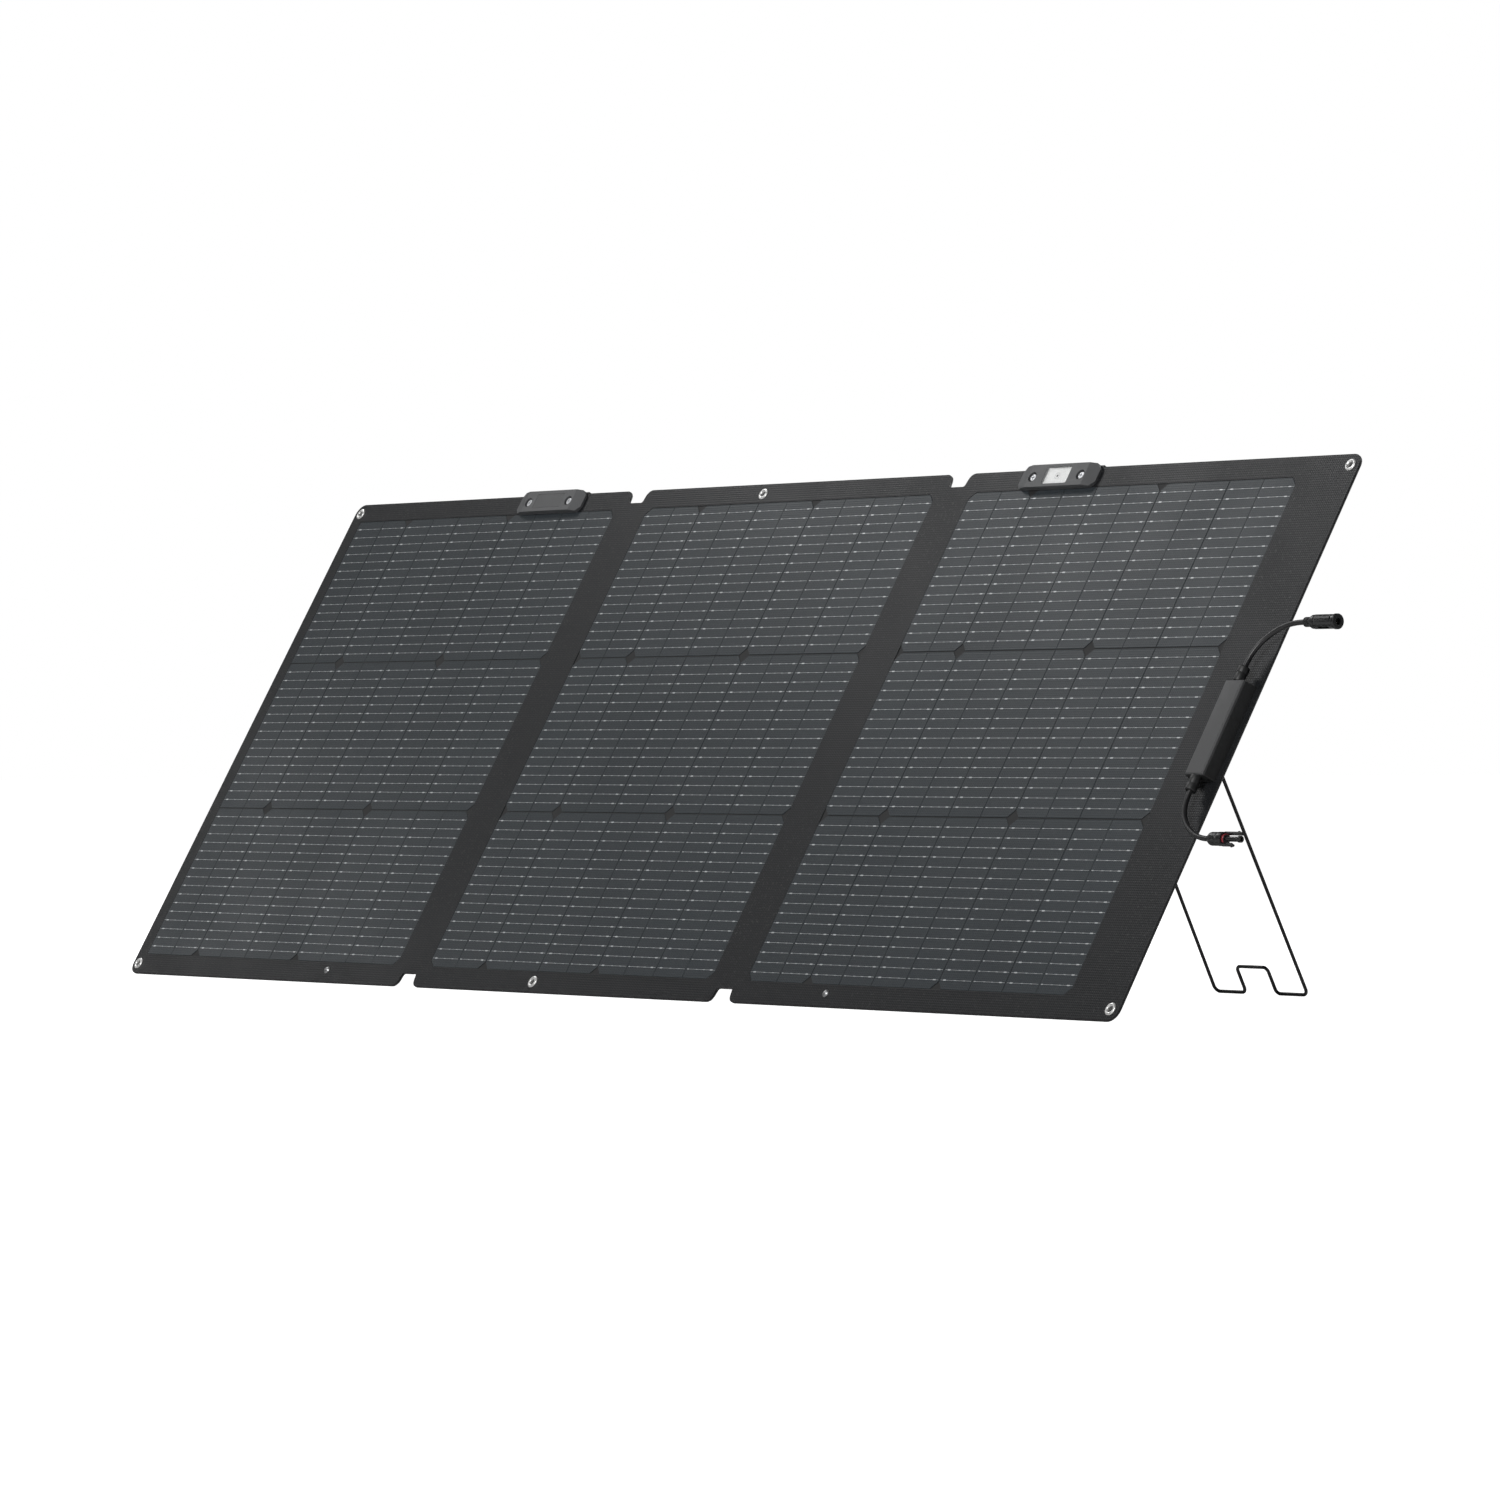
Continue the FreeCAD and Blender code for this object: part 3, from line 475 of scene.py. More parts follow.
def make_ribbon(sizes, colours):
    """Tinned copper, dulled by the film over it."""
    tree, shader = new_finish("tinned_ribbon", Metallic=0.35)
    grain = placed(tree, "grain", scale=700.0)
    tree.feed(shader, "Base Color", tree.mix(grain.outputs["Cloud"], shade(colours.ribbon, 0.8), colours.ribbon))
    tree.feed(shader, "Roughness", tree.spread(grain.outputs["Height"], 0.3, 0.7, 0.30, 0.48))
    raise_by(tree, shader, grain.outputs["Height"], 0.00005)


def make_back(sizes, colours):
    """Woven polyester with a soft sheen, and painted shade between its threads."""
    tree, shader = new_finish("back_weave", Sheen_Weight=0.25, Sheen_Roughness=0.45)
    weave = placed(tree, "weave", pitch=sizes.weave_pitch * MM)
    handled = placed(tree, "handling", dust=0.6)
    # Painted shade: the fabric's colour is darker between the threads and lighter on their crowns.
    tone = tree.mix(weave.outputs["Crown"], shade(colours.back, 0.55), shade(colours.back, 1.25))
    tone = tree.mix(tree.math("MULTIPLY", handled.outputs["Smudge"], 0.3), tone, shade(colours.back, 1.6))
    tree.feed(shader, "Base Color", tree.mix(handled.outputs["Dust"], tone, CLOTH_DUST))
    tree.feed(shader, "Roughness", tree.spread(weave.outputs["Crown"], 0.0, 1.0, 0.85, 0.62))
    raise_by(tree, shader, weave.outputs["Height"], sizes.weave_depth * MM)


def moulded_finish(name, colour, roughness, wear=0.35, scale=1500.0, depth=0.00006, rub=2.2):
    """Moulded plastic or rubber, with grain and rubbed edges."""
    tree, shader = new_finish(name)
    grain = placed(tree, "grain", scale=scale)
    rubbed = placed(tree, "wear", amount=wear).outputs["Rubbed"]
    tone = tree.mix(grain.outputs["Cloud"], shade(colour, 0.88), shade(colour, 1.12))
    tree.feed(shader, "Base Color", tree.mix(rubbed, tone, shade(colour, rub)))
    tree.feed(shader, "Roughness", tree.spread(grain.outputs["Cloud"], 0.0, 1.0, roughness - 0.05, roughness + 0.06))
    raise_by(tree, shader, grain.outputs["Height"], depth)


def metal_finish(name, colour, roughness, scale, depth, metallic=1.0):
    """Plated metal with a faint unevenness."""
    tree, shader = new_finish(name, Metallic=metallic)
    grain = placed(tree, "grain", scale=scale)
    tree.feed(shader, "Base Color", tree.mix(grain.outputs["Cloud"], shade(colour, 0.86), colour))
    tree.feed(shader, "Roughness", tree.spread(grain.outputs["Height"], 0.3, 0.7, roughness * 0.75, roughness * 1.3))
    raise_by(tree, shader, grain.outputs["Height"], depth)


def make_window():
    """Clear glossy plate. It hardly tints what lies under it."""
    tree, shader = new_finish("clear_window", Base_Color=(0.95, 0.97, 0.97, 1.0), Alpha=0.10, IOR=1.49)
    grain = placed(tree, "grain", scale=60.0)
    tree.feed(shader, "Roughness", tree.spread(grain.outputs["Cloud"], 0.0, 1.0, 0.03, 0.09))


class SOLAR_OT_finishes(bpy.types.Operator):
    """Make the shared node groups and every finish"""

    bl_idname = "solar.finishes"
    bl_label = "Finishes"

    def execute(self, context):
        sizes = context.scene.panel_sizes
        colours = context.scene.panel_colours
        GROUPS["emboss"] = make_emboss_group()
        GROUPS["weave"] = make_weave_group()
        GROUPS["grain"] = make_grain_group()
        GROUPS["wear"] = make_wear_group()
        GROUPS["handling"] = make_handling_group()
        for make in (make_film, make_cell, make_gap, make_ribbon, make_back):
            make(sizes, colours)
        moulded_finish("block_nylon", colours.block, 0.52)
        moulded_finish("black_nylon", colours.black, 0.50)
        moulded_finish("box_black", colours.black, 0.46, scale=1200.0)
        moulded_finish("box_grey", colours.cover, 0.50, scale=1200.0)
        moulded_finish("plain_plate", colours.label, 0.42, wear=0.1, scale=2200.0, depth=0.00002)
        moulded_finish("white_dial", colours.dial, 0.45, wear=0.0, scale=2200.0, depth=0.00001, rub=1.0)
        moulded_finish("dial_print", (0.02, 0.02, 0.02), 0.5, wear=0.0, depth=0.00001)
        moulded_finish("powder_coat", colours.wire, 0.42, wear=0.5, scale=2600.0, depth=0.00004, rub=6.0)
        moulded_finish("lead_rubber", (0.013, 0.013, 0.014), 0.40, wear=0.2, scale=1800.0, depth=0.00002)
        moulded_finish("connector_nylon", (0.012, 0.0125, 0.013), 0.36, wear=0.4, scale=1400.0, depth=0.00003)
        moulded_finish("black_rubber", (0.015, 0.015, 0.015), 0.7, wear=0.0)
        moulded_finish("red_silicone", colours.seal, 0.38, wear=0.0, scale=1800.0, depth=0.00001)
        moulded_finish("glass_fibre_board", (0.36, 0.42, 0.20), 0.6, wear=0.0, scale=800.0)
        moulded_finish("solder_mask", (0.008, 0.09, 0.03), 0.35, wear=0.0, scale=700.0, depth=0.00002)
        moulded_finish("moulded_epoxy", (0.012, 0.012, 0.013), 0.6, wear=0.1)
        metal_finish("bright_nickel", (0.82, 0.82, 0.81), 0.34, 260.0, 0.00002, 0.7)
        metal_finish("zinc_plate", (0.66, 0.67, 0.69), 0.38, 500.0, 0.00003, 0.6)
        metal_finish("satin_nickel", (0.42, 0.425, 0.43), 0.42, 700.0, 0.00003)
        metal_finish("tinned_copper", (0.66, 0.62, 0.55), 0.30, 500.0, 0.00003)
        make_window()
        return {"FINISHED"}


# ---- mesh helpers, all in the leaf's millimetres


def rounded(points, steps=7):
    """Corners (u, v, radius) of a closed outline as points, with each corner an arc."""
    made = []
    count = len(points)
    for i, (u, v, radius) in enumerate(points):
        corner = Vector((u, v))
        back = (Vector(points[i - 1][:2]) - corner).normalized()
        ahead = (Vector(points[(i + 1) % count][:2]) - corner).normalized()
        half = back.angle(ahead) / 2
        centre = corner + (back + ahead).normalized() * (radius / math.sin(half))
        start = corner + back * (radius / math.tan(half)) - centre
        end = corner + ahead * (radius / math.tan(half)) - centre
        turn = start.angle_signed(end)
        for k in range(steps + 1):
            angle = -turn * k / steps
            swing = Vector((
                start.x * math.cos(angle) - start.y * math.sin(angle),
                start.x * math.sin(angle) + start.y * math.cos(angle),
            ))
            made.append(centre + swing)
    return made


def panel_outline(inset):
    """The whole panel's outline, drawn in by inset."""
    low = inset
    high = HEIGHT - inset
    right = WIDTH - inset
    depth = NOTCH_DEPTH + inset
    outer = max(CORNER_R - inset, 1.0)
    mouth = max(NOTCH_MOUTH_R - inset, 0.5)
    root = NOTCH_ROOT_R + inset
    half = NOTCH_HALF + inset
    wide = half + NOTCH_FLARE
    points = [(low, low, outer)]
    for m in NOTCHES:
        points += [(m - wide, low, mouth), (m - half, depth, root), (m + half, depth, root), (m + wide, low, mouth)]
    points += [(right, low, outer), (right, high, outer)]
    for m in reversed(NOTCHES):
        points += [(m + wide, high, mouth), (m + half, HEIGHT - depth, root)]
        points += [(m - half, HEIGHT - depth, root), (m - wide, high, mouth)]
    points.append((low, high, outer))
    return rounded(points)


def clipped(points, limit, side):
    """The closed outline cut off at u = limit. side is 1 to keep what lies to the right and -1 for the left."""
    kept = []
    for i, here in enumerate(points):
        before = points[i - 1]
        inside = side * (here.x - limit) >= 0
        if inside != (side * (before.x - limit) >= 0):
            t = (limit - before.x) / (here.x - before.x)
            kept.append(before.lerp(here, t))
        if inside:
            kept.append(here)
    return kept


def stretch(u, inset=0.0):
    """The panel's outline between a pair of u."""
    points = panel_outline(inset)
    if u[0] > 0:
        points = clipped(points, u[0], 1)
    if u[1] < WIDTH:
        points = clipped(points, u[1], -1)
    return points


def ring(u, v, radius, count=40):
    """A circle as a closed outline."""
    turns = [2 * math.pi * k / count for k in range(count)]
    return [Vector((u + radius * math.cos(t), v + radius * math.sin(t))) for t in turns]


def sheet_mesh(outlines, low, high, edge):
    """A flat sheet between n = low and n = high, with rounded edges. The outlines after the first are holes."""
    curve = bpy.data.curves.new("sheet", "CURVE")
    curve.dimensions = "2D"
    curve.fill_mode = "BOTH"
    curve.extrude = (high - low) / 2 - edge
    curve.bevel_depth = edge
    curve.bevel_resolution = 1
    curve.offset = -edge
    for points in outlines:
        spline = curve.splines.new("POLY")
        spline.points.add(len(points) - 1)
        for slot, point in zip(spline.points, points):
            slot.co = (point.x, point.y, 0.0, 1.0)
        spline.use_cyclic_u = True
    holder = bpy.data.objects.new("sheet", curve)
    bpy.context.scene.collection.objects.link(holder)
    bpy.context.view_layer.update()
    made = bpy.data.meshes.new_from_object(holder.evaluated_get(bpy.context.evaluated_depsgraph_get()))
    bm = bmesh.new()
    bm.from_mesh(made)
    bmesh.ops.remove_doubles(bm, verts=bm.verts, dist=WELD_GAP)
    bmesh.ops.translate(bm, verts=bm.verts, vec=(0.0, 0.0, (low + high) / 2))
    bpy.data.objects.remove(holder)
    bpy.data.curves.remove(curve)
    bpy.data.meshes.remove(made)
    return bm


def inset_outline(points, distance):
    """A convex outline drawn in by distance."""
    made = []
    count = len(points)
    for i, here in enumerate(points):
        back = (points[i - 1] - here).normalized()
        ahead = (points[(i + 1) % count] - here).normalized()
        half = back.angle(ahead) / 2
        made.append(here + (back + ahead).normalized() * (distance / math.sin(half)))
    return made


def add_slab(bm, points, low, high, edge):
    """A slab with a convex outline, open below, with its upper edge chamfered. Returns its faces."""
    levels = [(points, low), (points, high - edge), (inset_outline(points, edge), high)]
    rings = [[bm.verts.new((p.x, p.y, n)) for p in outline] for outline, n in levels]
    faces = [bm.faces.new(rings[-1])]
    count = len(points)
    for lower, upper in zip(rings, rings[1:]):
        for i in range(count):
            j = (i + 1) % count
            faces.append(bm.faces.new((lower[i], lower[j], upper[j], upper[i])))
    return faces


def box_outline(u, v):
    """A rectangle, anticlockwise."""
    return [Vector((u[0], v[0])), Vector((u[1], v[0])), Vector((u[1], v[1])), Vector((u[0], v[1]))]


def turned_mesh(bm, place, profile, segments):
    """A shape turned about n. The profile is (distance along n, radius). A closed profile makes a ring."""
    axis = Vector((0.0, 0.0, 1.0))
    side = axis.orthogonal().normalized()
    other = axis.cross(side)
    closed = profile[0] == profile[-1]
    rows = profile[:-1] if closed else profile
    rings = []
    for along, radius in rows:
        row = []
        for k in range(segments):
            angle = 2 * math.pi * k / segments
            spoke = side * math.cos(angle) + other * math.sin(angle)
            row.append(bm.verts.new(Vector(place) + axis * along + spoke * radius))
        rings.append(row)
    pairs = list(zip(rings, rings[1:])) + ([(rings[-1], rings[0])] if closed else [])
    for lower, upper in pairs:
        for i in range(segments):
            j = (i + 1) % segments
            bm.faces.new((lower[i], lower[j], upper[j], upper[i]))
    if not closed:
        bm.faces.new(list(reversed(rings[0])))
        bm.faces.new(rings[-1])


def make_piece(name, bm, body, finish, stands_for=(), smooth=None):
    """Turn the mesh into a piece of the object that rides on a body. smooth is the angle in degrees below which
    edges are shaded smooth."""
    bmesh.ops.transform(bm, matrix=LEAF, verts=bm.verts)
    bmesh.ops.recalc_face_normals(bm, faces=bm.faces)
    mesh = bpy.data.meshes.new(name)
    bm.to_mesh(mesh)
    bm.free()
    mesh.materials.append(FINISHES[finish])
    if smooth:
        mesh.shade_smooth()
        mesh.set_sharp_from_angle(angle=math.radians(smooth))
        for face in mesh.polygons:
            if abs(face.normal.dot(OUTWARD)) > FLAT_FACE:
                face.use_smooth = False
    piece = bpy.data.objects.new(name, mesh)
    bpy.context.scene.collection.objects.link(piece)
    if body:
        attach(piece, body)
    if stands_for:
        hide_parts(*stands_for)
    return piece


def dress(node, finish, rounding=0.0, steps=2):
    """Give a CAD node its finish, and rounded edges where it is moulded."""
    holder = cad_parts[node]
    holder.data.materials.clear()
    holder.data.materials.append(FINISHES[finish])
    if rounding:
        weld = holder.modifiers.new("Weld", "WELD")
        weld.merge_threshold = WELD_DISTANCE
        bevel = holder.modifiers.new("Bevel", "BEVEL")
        bevel.width = rounding * MM
        bevel.segments = steps
        bevel.limit_method = "ANGLE"
        bevel.angle_limit = SHARP_EDGE


# ---- the leaves


def cell_outline(column, row, leaf):
    """One quarter cell. The wafer's cut corners fall at every fourth column edge."""
    u = CELL_STARTS[leaf] + column * COLUMN_PITCH
    v = CELLS_V + row * ROW_PITCH - (GROWTH_BETWEEN_ROWS if row else 0.0)
    before = GROWTH_IN_PAIR if column % 2 else GROWTH_BESIDE_PAIR
    after = GROWTH_BESIDE_PAIR if column % 2 else GROWTH_IN_PAIR
    if column == 0:
        before = GROWTH_AT_END
    if column == COLUMNS - 1:
        after = GROWTH_AT_END
    left = CELL_CUT if column % 4 == 2 or (column == 0 and leaf != "left") else 0.0
    right = CELL_CUT if column % 4 == 1 else 0.0
    start = u - before
    end = u + CELL_WIDTH + after
    top = CELLS_V + row * ROW_PITCH + CELL_HEIGHT + (GROWTH_BETWEEN_ROWS if row < ROWS - 1 else 0.0)
    points = [(start, v + left), (start + left, v), (end - right, v), (end, v + right)]
    points += [(end, top - right), (end - right, top), (start + left, top), (start, top - left)]
    outline = []
    for point in points:
        if not outline or point != outline[-1]:
            outline.append(point)
    return [Vector(p) for p in outline]


def field_outline(leaf):
    """The window in the border film around a leaf's cells."""
    left = CELL_STARTS[leaf] - FIELD_MARGIN
    right = CELL_STARTS[leaf] + (COLUMNS - 1) * COLUMN_PITCH + CELL_WIDTH + FIELD_MARGIN
    low = CELLS_V - FIELD_MARGIN
    high = CELLS_V + (ROWS - 1) * ROW_PITCH + CELL_HEIGHT + FIELD_MARGIN
    cut = CELL_CUT
    points = [(right - cut, low), (right, low + cut), (right, high - cut), (right - cut, high)]
    if leaf == "left":
        points += [(left, high), (left, low)]
    else:
        points += [(left + cut, high), (left, high - cut), (left, low + cut), (left + cut, low)]
    return [Vector(p) for p in points]


def square_seams(bm, span):
    """Take the rounding off the sheet's edges where the hinge cloth goes on from them."""
    for seam in span:
        if 0.0 < seam < WIDTH:
            for vert in bm.verts:
                if abs(vert.co.x - seam) < SEAM_REACH:
                    vert.co.x = seam
                    vert.co.z = 0.0 if vert.co.z > -FILM_T / 2 else -FILM_T
    bmesh.ops.remove_doubles(bm, verts=bm.verts, dist=WELD_GAP)
    bmesh.ops.dissolve_degenerate(bm, edges=bm.edges, dist=WELD_GAP)


class SOLAR_OT_leaf_sheets(bpy.types.Operator):
    """Make the border film and the back fabric of each leaf"""

    bl_idname = "solar.leaf_sheets"
    bl_label = "Leaf sheets"

    def execute(self, context):
        edge = context.scene.panel_sizes.film_edge
        for leaf, span in LEAVES.items():
            body = leaf + "_leaf"
            holes = [ring(u, v, EYELET_HOLE_R) for u, v in EYELETS[leaf]]
            film = sheet_mesh([stretch(span), field_outline(leaf)] + holes, -FILM_T, 0.0, edge)
            square_seams(film, span)
            make_piece(leaf + "_border_film", film, body, "border_film", [leaf + "_front_film"], 40)
            back = sheet_mesh([stretch(span)] + holes, *BACK_SHEET_N, BACK_SHEET_EDGE)
            start = span[0] + (BACK_PANEL_INSET if span[0] > 0 else 0.0)
            end = span[1] - (BACK_PANEL_INSET if span[1] < WIDTH else 0.0)
            raised = sheet_mesh([stretch((start, end), BACK_PANEL_INSET)], *BACK_PANEL_N, BACK_PANEL_EDGE)
            joined = bpy.data.meshes.new("raised")
            raised.to_mesh(joined)
            raised.free()
            back.from_mesh(joined)
            bpy.data.meshes.remove(joined)
            make_piece(leaf + "_back_cover", back, body, "back_weave", [leaf + "_back_fabric"], 40)
            dress(leaf + "_core_board", "glass_fibre_board")
            dress(leaf + "_face_sheet", "gap_sheet")
        return {"FINISHED"}


class SOLAR_OT_cells(bpy.types.Operator):
    """Make the rows of quarter cells"""

    bl_idname = "solar.cells"
    bl_label = "Cells"

    def execute(self, context):
        for number, leaf in enumerate(LEAVES):
            bm = bmesh.new()
            layer = bm.faces.layers.float.new("cell_tone")
            for row in range(ROWS):
                for column in range(COLUMNS):
                    wave = sum(a * b for a, b in zip((number, row, column // 2, column), TONE_STEPS))
                    tone = 0.5 + 0.5 * math.sin(wave)
                    for face in add_slab(bm, cell_outline(column, row, leaf), -FILM_T, CELL_N, CELL_CHAMFER):
                        face[layer] = tone * TONE_RANGE
            make_piece(leaf + "_cell_slabs", bm, leaf + "_leaf", "cell_film", [leaf + "_cells"])
        return {"FINISHED"}


class SOLAR_OT_ribbons(bpy.types.Operator):
    """Make the ribbons along the cells, with their solder pads"""

    bl_idname = "solar.ribbons"
    bl_label = "Ribbons"

    def execute(self, context):
        half = context.scene.panel_sizes.ribbon_width / 2
        for leaf in LEAVES:
            bm = bmesh.new()
            for row in range(ROWS):
                middle = CELLS_V + row * ROW_PITCH + CELL_HEIGHT / 2
                for i in range(RIBBONS_PER_ROW):
                    v = middle + (i - (RIBBONS_PER_ROW - 1) / 2) * RIBBON_PITCH
                    for pair in range(COLUMNS // 2):
                        u = CELL_STARTS[leaf] + PAIR_START + pair * 2 * COLUMN_PITCH
                        for start, end in RUNS:
                            run = box_outline((u + start, u + end), (v - half, v + half))
                            add_slab(bm, run, CELL_N, RIBBON_N, RIBBON_CHAMFER)
                        for place, length, width in PADS:
                            a = u + place - length / 2
                            b = u + place + length / 2
                            w = width / 2
                            shape = [(a, v), (a + w, v - w), (b - w, v - w), (b, v), (b - w, v + w), (a + w, v + w)]
                            add_slab(bm, [Vector(p) for p in shape], CELL_N, PAD_N, PAD_CHAMFER)
            make_piece(leaf + "_ribbon_runs", bm, leaf + "_leaf", "tinned_ribbon", [leaf + "_ribbons"])
        return {"FINISHED"}


def edge_limits(u):
    """The lowest and highest v of the panel at a given u."""
    cut = []
    points = panel_outline(0.0)
    for i, here in enumerate(points):
        before = points[i - 1]
        if min(before.x, here.x) <= u <= max(before.x, here.x) and abs(here.x - before.x) > 1e-6:
            cut.append(before.lerp(here, (u - before.x) / (here.x - before.x)).y)
    middle = HEIGHT / 2
    return max(v for v in cut if v < middle), min(v for v in cut if v > middle)


def cloth_mesh(u, low, high, columns=14, rows=60):
    """A closed strip of cloth across a crease, with rounded ends."""
    bm = bmesh.new()
    layers = []
    for n in (low, high):
        grid = []
        for i in range(columns + 1):
            across = u[0] + (u[1] - u[0]) * i / columns
            bottom, top = edge_limits(across)
            grid.append([bm.verts.new((across, bottom + (top - bottom) * j / rows, n)) for j in range(rows + 1)])
        layers.append(grid)
    for grid in layers:
        for i in range(columns):
            for j in range(rows):
                bm.faces.new((grid[i][j], grid[i + 1][j], grid[i + 1][j + 1], grid[i][j + 1]))
    under, over = layers
    for j in range(rows):
        for i in (0, columns):
            bm.faces.new((under[i][j], under[i][j + 1], over[i][j + 1], over[i][j]))
    for i in range(columns):
        for j in (0, rows):
            bm.faces.new((under[i][j], under[i + 1][j], over[i + 1][j], over[i][j]))
    return bm


class SOLAR_OT_hinges(bpy.types.Operator):
    """Make the cloth of the two hinges, each in two halves that meet midway between its creases, one half over each
    crease
    """

    bl_idname = "solar.hinges"
    bl_label = "Hinges"

    def execute(self, context):
        for side, (outer, inner) in CREASES.items():
            way = 1 if side == "left" else -1
            middle = (outer + inner) / 2
            halves = {
                "outer": (outer, outer - way * BEND_HALF, middle, side + "_leaf"),
                "inner": (inner, inner + way * BEND_HALF, middle, "middle_leaf"),
            }
            for half, (crease, far, near, leaf) in halves.items():
                span = sorted((far, near))
                for face, low, high, slot, finish, node in (
                    ("film", CLOTH_MIDDLE_N, 0.0, "front_film", "border_film", side + "_hinge_face"),
                    ("fabric", CLOTH_BACK_N, CLOTH_MIDDLE_N, "back_fabric", "back_weave", side + "_hinge_back"),
                ):
                    name = f"{side}_hinge_{half}_{face}"
                    piece = make_piece(name, cloth_mesh(span, low, high), None, finish, smooth=40)
                    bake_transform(piece)
                    if half == "outer":
                        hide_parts(node)
            dress(side + "_hinge_jumper", "tinned_copper")
        return {"FINISHED"}


class SOLAR_OT_eyelets(bpy.types.Operator):
    """Make the pressed eyelets with their rolled backs"""

    bl_idname = "solar.eyelets"
    bl_label = "Eyelets"

    def execute(self, context):
        flange = [(0.0, 6.5), (0.35, 6.45), (0.75, 6.15), (1.05, 5.6), (1.2, 4.95), (1.15, 4.2), (0.85, 3.55)]
        bore = [(0.4, 3.15), (-0.3, 3.0), (-3.6, 3.0)]
        roll = [(-4.05, 3.15), (-4.3, 3.6), (-4.25, 4.2), (-4.0, 4.9), (-3.7, 5.6), (-3.3, 6.0), (-3.0, 6.0)]
        inside = [(-2.95, 3.65), (-0.05, 3.65)]
        profile = flange + bore + roll + inside + flange[:1]
        for leaf, places in EYELETS.items():
            bm = bmesh.new()
            for u, v in places:
                turned_mesh(bm, (u, v, 0.0), profile, 56)
            name = leaf + "_eyelet_rings"
            make_piece(name, bm, leaf + "_leaf", "bright_nickel", [leaf + "_eyelets"], 50)
        return {"FINISHED"}


class SOLAR_OT_blocks(bpy.types.Operator):
    """Dress the front blocks, their screws, the plain plate and the sun finder"""

    bl_idname = "solar.blocks"
    bl_label = "Blocks"

    def execute(self, context):
        rounding = context.scene.panel_sizes.moulding_round
        for side in STANDS:
            dress(side + "_block", "block_nylon", rounding)
            dress(side + "_screws", "zinc_plate", 0.15)
        dress("left_label_plate", "plain_plate", 0.2)
        dress("right_dial", "white_dial")
        dress("right_window", "clear_window")
        place = (STANDS["right"] + DIAL_SHIFT, sum(BLOCK_V) / 2, DIAL_N)
        inner, outer = RING_R
        bm = bmesh.new()
        turned_mesh(bm, place, [(0.0, DOT_R), (MARK_T, DOT_R)], 24)
        turned_mesh(bm, place, [(0.0, outer), (MARK_T, outer), (MARK_T, inner), (0.0, inner), (0.0, outer)], 40)
        make_piece("right_dial_marks", bm, "right_leaf", "dial_print")
        return {"FINISHED"}


class SOLAR_OT_stands(bpy.types.Operator):
    """Dress the wire stands, their brackets, clips and studs"""

    bl_idname = "solar.stands"
    bl_label = "Stands"

    def execute(self, context):
        rounding = context.scene.panel_sizes.moulding_round
        for side in STANDS:
            dress(side + "_stand_wire", "powder_coat")
            dress(side + "_bracket", "black_nylon", rounding)
            dress(side + "_stand_clip", "black_nylon", rounding)
            dress(side + "_clip_rivet", "satin_nickel")
        return {"FINISHED"}


class SOLAR_OT_cable_box(bpy.types.Operator):
    """Dress the cable box, what is inside it, and its glands"""

    bl_idname = "solar.cable_box"
    bl_label = "Cable box"

    def execute(self, context):
        dress("box_base", "box_black", 0.4)
        dress("box_cover", "box_grey", 0.5, 3)
        dress("box_seal", "black_rubber")
        dress("box_circuit_board", "solder_mask")
        dress("box_diode", "moulded_epoxy")
        dress("box_terminals", "tinned_copper")
        dress("gland_bodies", "black_nylon", 0.3)
        dress("gland_nuts", "black_nylon", 0.3)
        return {"FINISHED"}


class SOLAR_OT_connectors(bpy.types.Operator):
    """Dress the socket and the plug"""

    bl_idname = "solar.connectors"
    bl_label = "Connectors"

    def execute(self, context):
        for node in ("socket_nut", "socket_body", "plug_nut", "plug_body"):
            dress(node, "connector_nylon", 0.25)
        dress("plug_seal", "red_silicone")
        dress("socket_contact", "tinned_copper")
        dress("plug_pin", "tinned_copper")
        return {"FINISHED"}


def lead_curve(name, route):
    """A lead on one smooth spline through its route's control points."""
    curve = bpy.data.curves.new(name, "CURVE")
    curve.dimensions = "3D"
    curve.bevel_depth = LEAD_DIAMETER / 2 * MM
    curve.bevel_resolution = 8
    curve.resolution_u = 24
    curve.use_fill_caps = True
    spline = curve.splines.new("NURBS")
    spline.points.add(len(route) - 1)
    for point, (u, v) in zip(spline.points, route):
        point.co = (*(LEAF @ Vector((u, v, LEAD_N))), 1.0)
    spline.order_u = 3
    spline.use_endpoint_u = True
    curve.materials.append(FINISHES["lead_rubber"])
    lead = bpy.data.objects.new(name, curve)
    bpy.context.scene.collection.objects.link(lead)
    return lead


class SOLAR_OT_leads(bpy.types.Operator):
    """Make the two leads"""

    bl_idname = "solar.leads"
    bl_label = "Leads"

    def execute(self, context):
        ends = {
            "upper_lead": (UPPER_ROUTE, 0.0832, ("socket_nut", "socket_body", "socket_contact")),
            "lower_lead": (LOWER_ROUTE, 0.0807, ("plug_nut", "plug_body", "plug_seal", "plug_pin")),
        }
        for node, (route, length, on_it) in ends.items():
            lead = lead_curve(node + "_cord", route)
            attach(lead, "right_leaf")
            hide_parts(node)
        return {"FINISHED"}


def soft_light(name, power):
    """One of the soft lights, at its place and turned to what it faces."""
    place, aim, size = LIGHTS[name]
    data = bpy.data.lights.new(name, "AREA")
    data.shape = "RECTANGLE"
    data.size, data.size_y = size
    data.energy = power
    light = bpy.data.objects.new(name, data)
    light.location = place
    light.rotation_euler = (Vector(aim) - Vector(place)).to_track_quat("-Z", "Y").to_euler()
    bpy.context.scene.collection.objects.link(light)


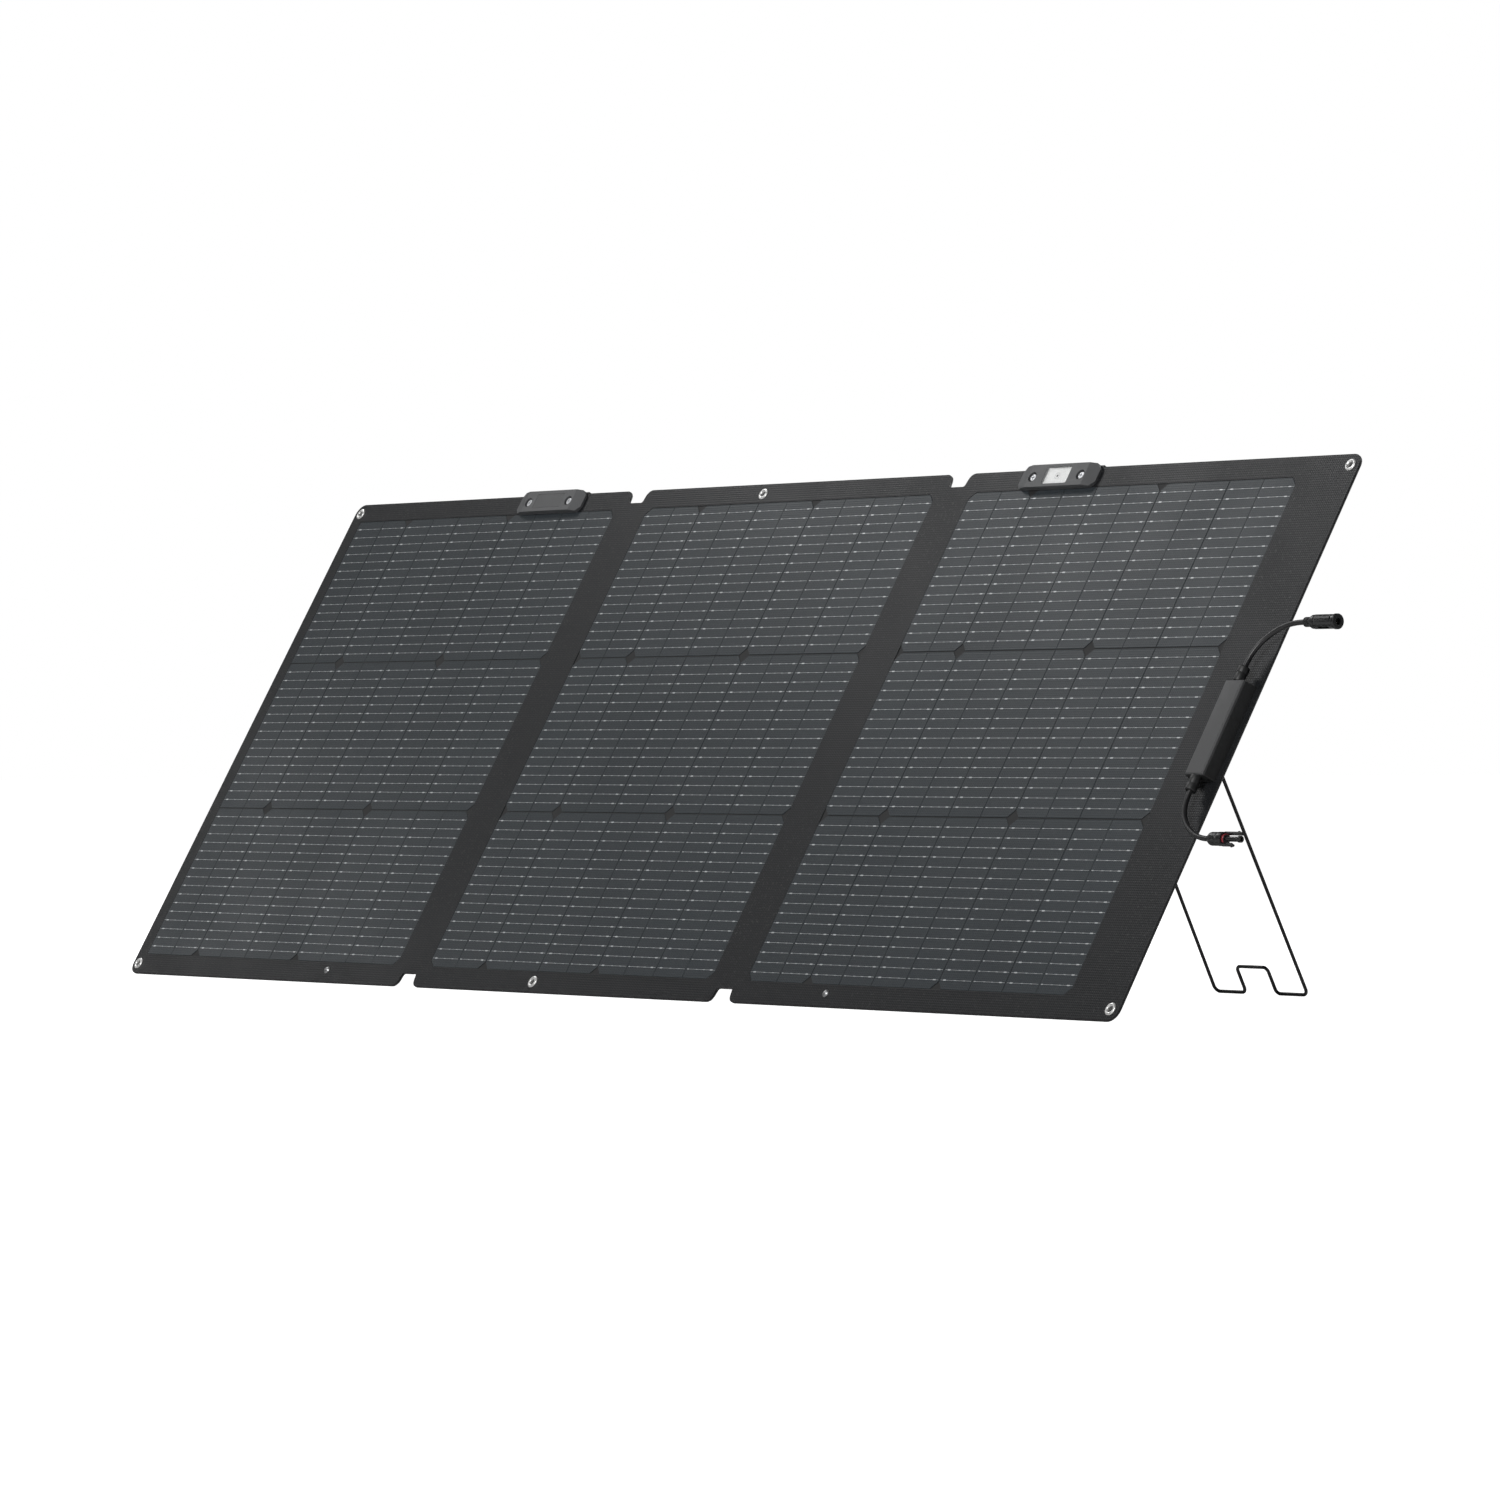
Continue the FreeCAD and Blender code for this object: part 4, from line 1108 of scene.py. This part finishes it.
class SOLAR_OT_stage(bpy.types.Operator):
    """Make the pale floor, the soft lights and the camera"""

    bl_idname = "solar.stage"
    bl_label = "Stage"

    def execute(self, context):
        scene = context.scene
        settings = scene.panel_stage
        bm = bmesh.new()
        bmesh.ops.create_grid(bm, x_segments=2, y_segments=2, size=FLOOR_SIZE)
        mesh = bpy.data.meshes.new("floor")
        bm.to_mesh(mesh)
        bm.free()
        tree, shader = new_finish("pale_floor", Roughness=0.9)
        grain = placed(tree, "grain", scale=40.0)
        tree.feed(shader, "Base Color", tree.mix(grain.outputs["Cloud"], (0.88, 0.88, 0.88), (0.92, 0.92, 0.92)))
        shader.inputs["Emission Color"].default_value = (1.0, 1.0, 1.0, 1.0)
        seen = tree.add("LightPath").outputs["Is Camera Ray"]
        point = tree.add("NewGeometry").outputs["Position"]
        away = tree.add("VectorMath", {"Vector": point}, operation="LENGTH").outputs["Value"]
        glow = tree.spread(away, *GLOW_SPAN, settings.floor_glow, 1.0)
        tree.feed(shader, "Emission Strength", tree.math("MULTIPLY", seen, glow))
        mesh.materials.append(FINISHES["pale_floor"])
        floor = bpy.data.objects.new("floor", mesh)
        scene.collection.objects.link(floor)

        world = bpy.data.worlds.new("studio")
        scene.world = world
        world.use_nodes = True
        sky = Tree(world.node_tree)
        background = world.node_tree.nodes["Background"]
        seen = sky.add("LightPath").outputs["Is Camera Ray"]
        sky.feed(background, "Color", (1.0, 1.0, 1.0, 1.0))
        sky.feed(background, "Strength", sky.spread(seen, 0.0, 1.0, settings.sky, 1.0))

        soft_light("key", settings.key_power)
        soft_light("fill", settings.fill_power)
        soft_light("front", settings.front_power)
        soft_light("back", settings.back_power)

        camera = bpy.data.objects.new("camera", bpy.data.cameras.new("camera"))
        camera.data.lens = settings.focal_length
        camera.data.sensor_width = 36.0
        camera.data.clip_end = 100.0
        camera.location = CAMERA_PLACE
        camera.rotation_euler = (math.radians(90.0), 0.0, CAMERA_TURN)
        scene.collection.objects.link(camera)
        scene.camera = camera
        scene.view_settings.view_transform = "Standard"
        return {"FINISHED"}


OPERATORS = (
    SOLAR_OT_finishes,
    SOLAR_OT_stage,
    SOLAR_OT_connectors,
    SOLAR_OT_leads,
    SOLAR_OT_cable_box,
    SOLAR_OT_leaf_sheets,
    SOLAR_OT_cells,
    SOLAR_OT_ribbons,
    SOLAR_OT_hinges,
    SOLAR_OT_eyelets,
    SOLAR_OT_blocks,
    SOLAR_OT_stands,
)


class SOLAR_PT_panel(bpy.types.Panel):
    """Lists the steps that dress the solar panel"""

    bl_idname = "SOLAR_PT_panel"
    bl_label = "Solar Panel"
    bl_space_type = "VIEW_3D"
    bl_region_type = "UI"
    bl_category = "Solar Panel"

    def draw(self, context):
        for group in (context.scene.panel_sizes, context.scene.panel_colours, context.scene.panel_stage):
            for name in group.bl_rna.properties.keys():
                if name not in ("rna_type", "name"):
                    self.layout.prop(group, name)
        for operator in OPERATORS:
            self.layout.operator(operator.bl_idname)


SETTINGS = {"panel_sizes": PanelSizes, "panel_colours": PanelColours, "panel_stage": PanelStage}


def register():
    """Add the settings, the operators and the sidebar panel."""
    for part in (*SETTINGS.values(), *OPERATORS, SOLAR_PT_panel):
        bpy.utils.register_class(part)
    for name, group in SETTINGS.items():
        setattr(bpy.types.Scene, name, bpy.props.PointerProperty(type=group))


def unregister():
    """Take them away again."""
    for name in SETTINGS:
        delattr(bpy.types.Scene, name)
    for part in reversed((*SETTINGS.values(), *OPERATORS, SOLAR_PT_panel)):
        bpy.utils.unregister_class(part)


def main():
    """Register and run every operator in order."""
    register()
    for operator in OPERATORS:
        group, name = operator.bl_idname.split(".")
        getattr(getattr(bpy.ops, group), name)()


if __name__ == "__main__":
    main()
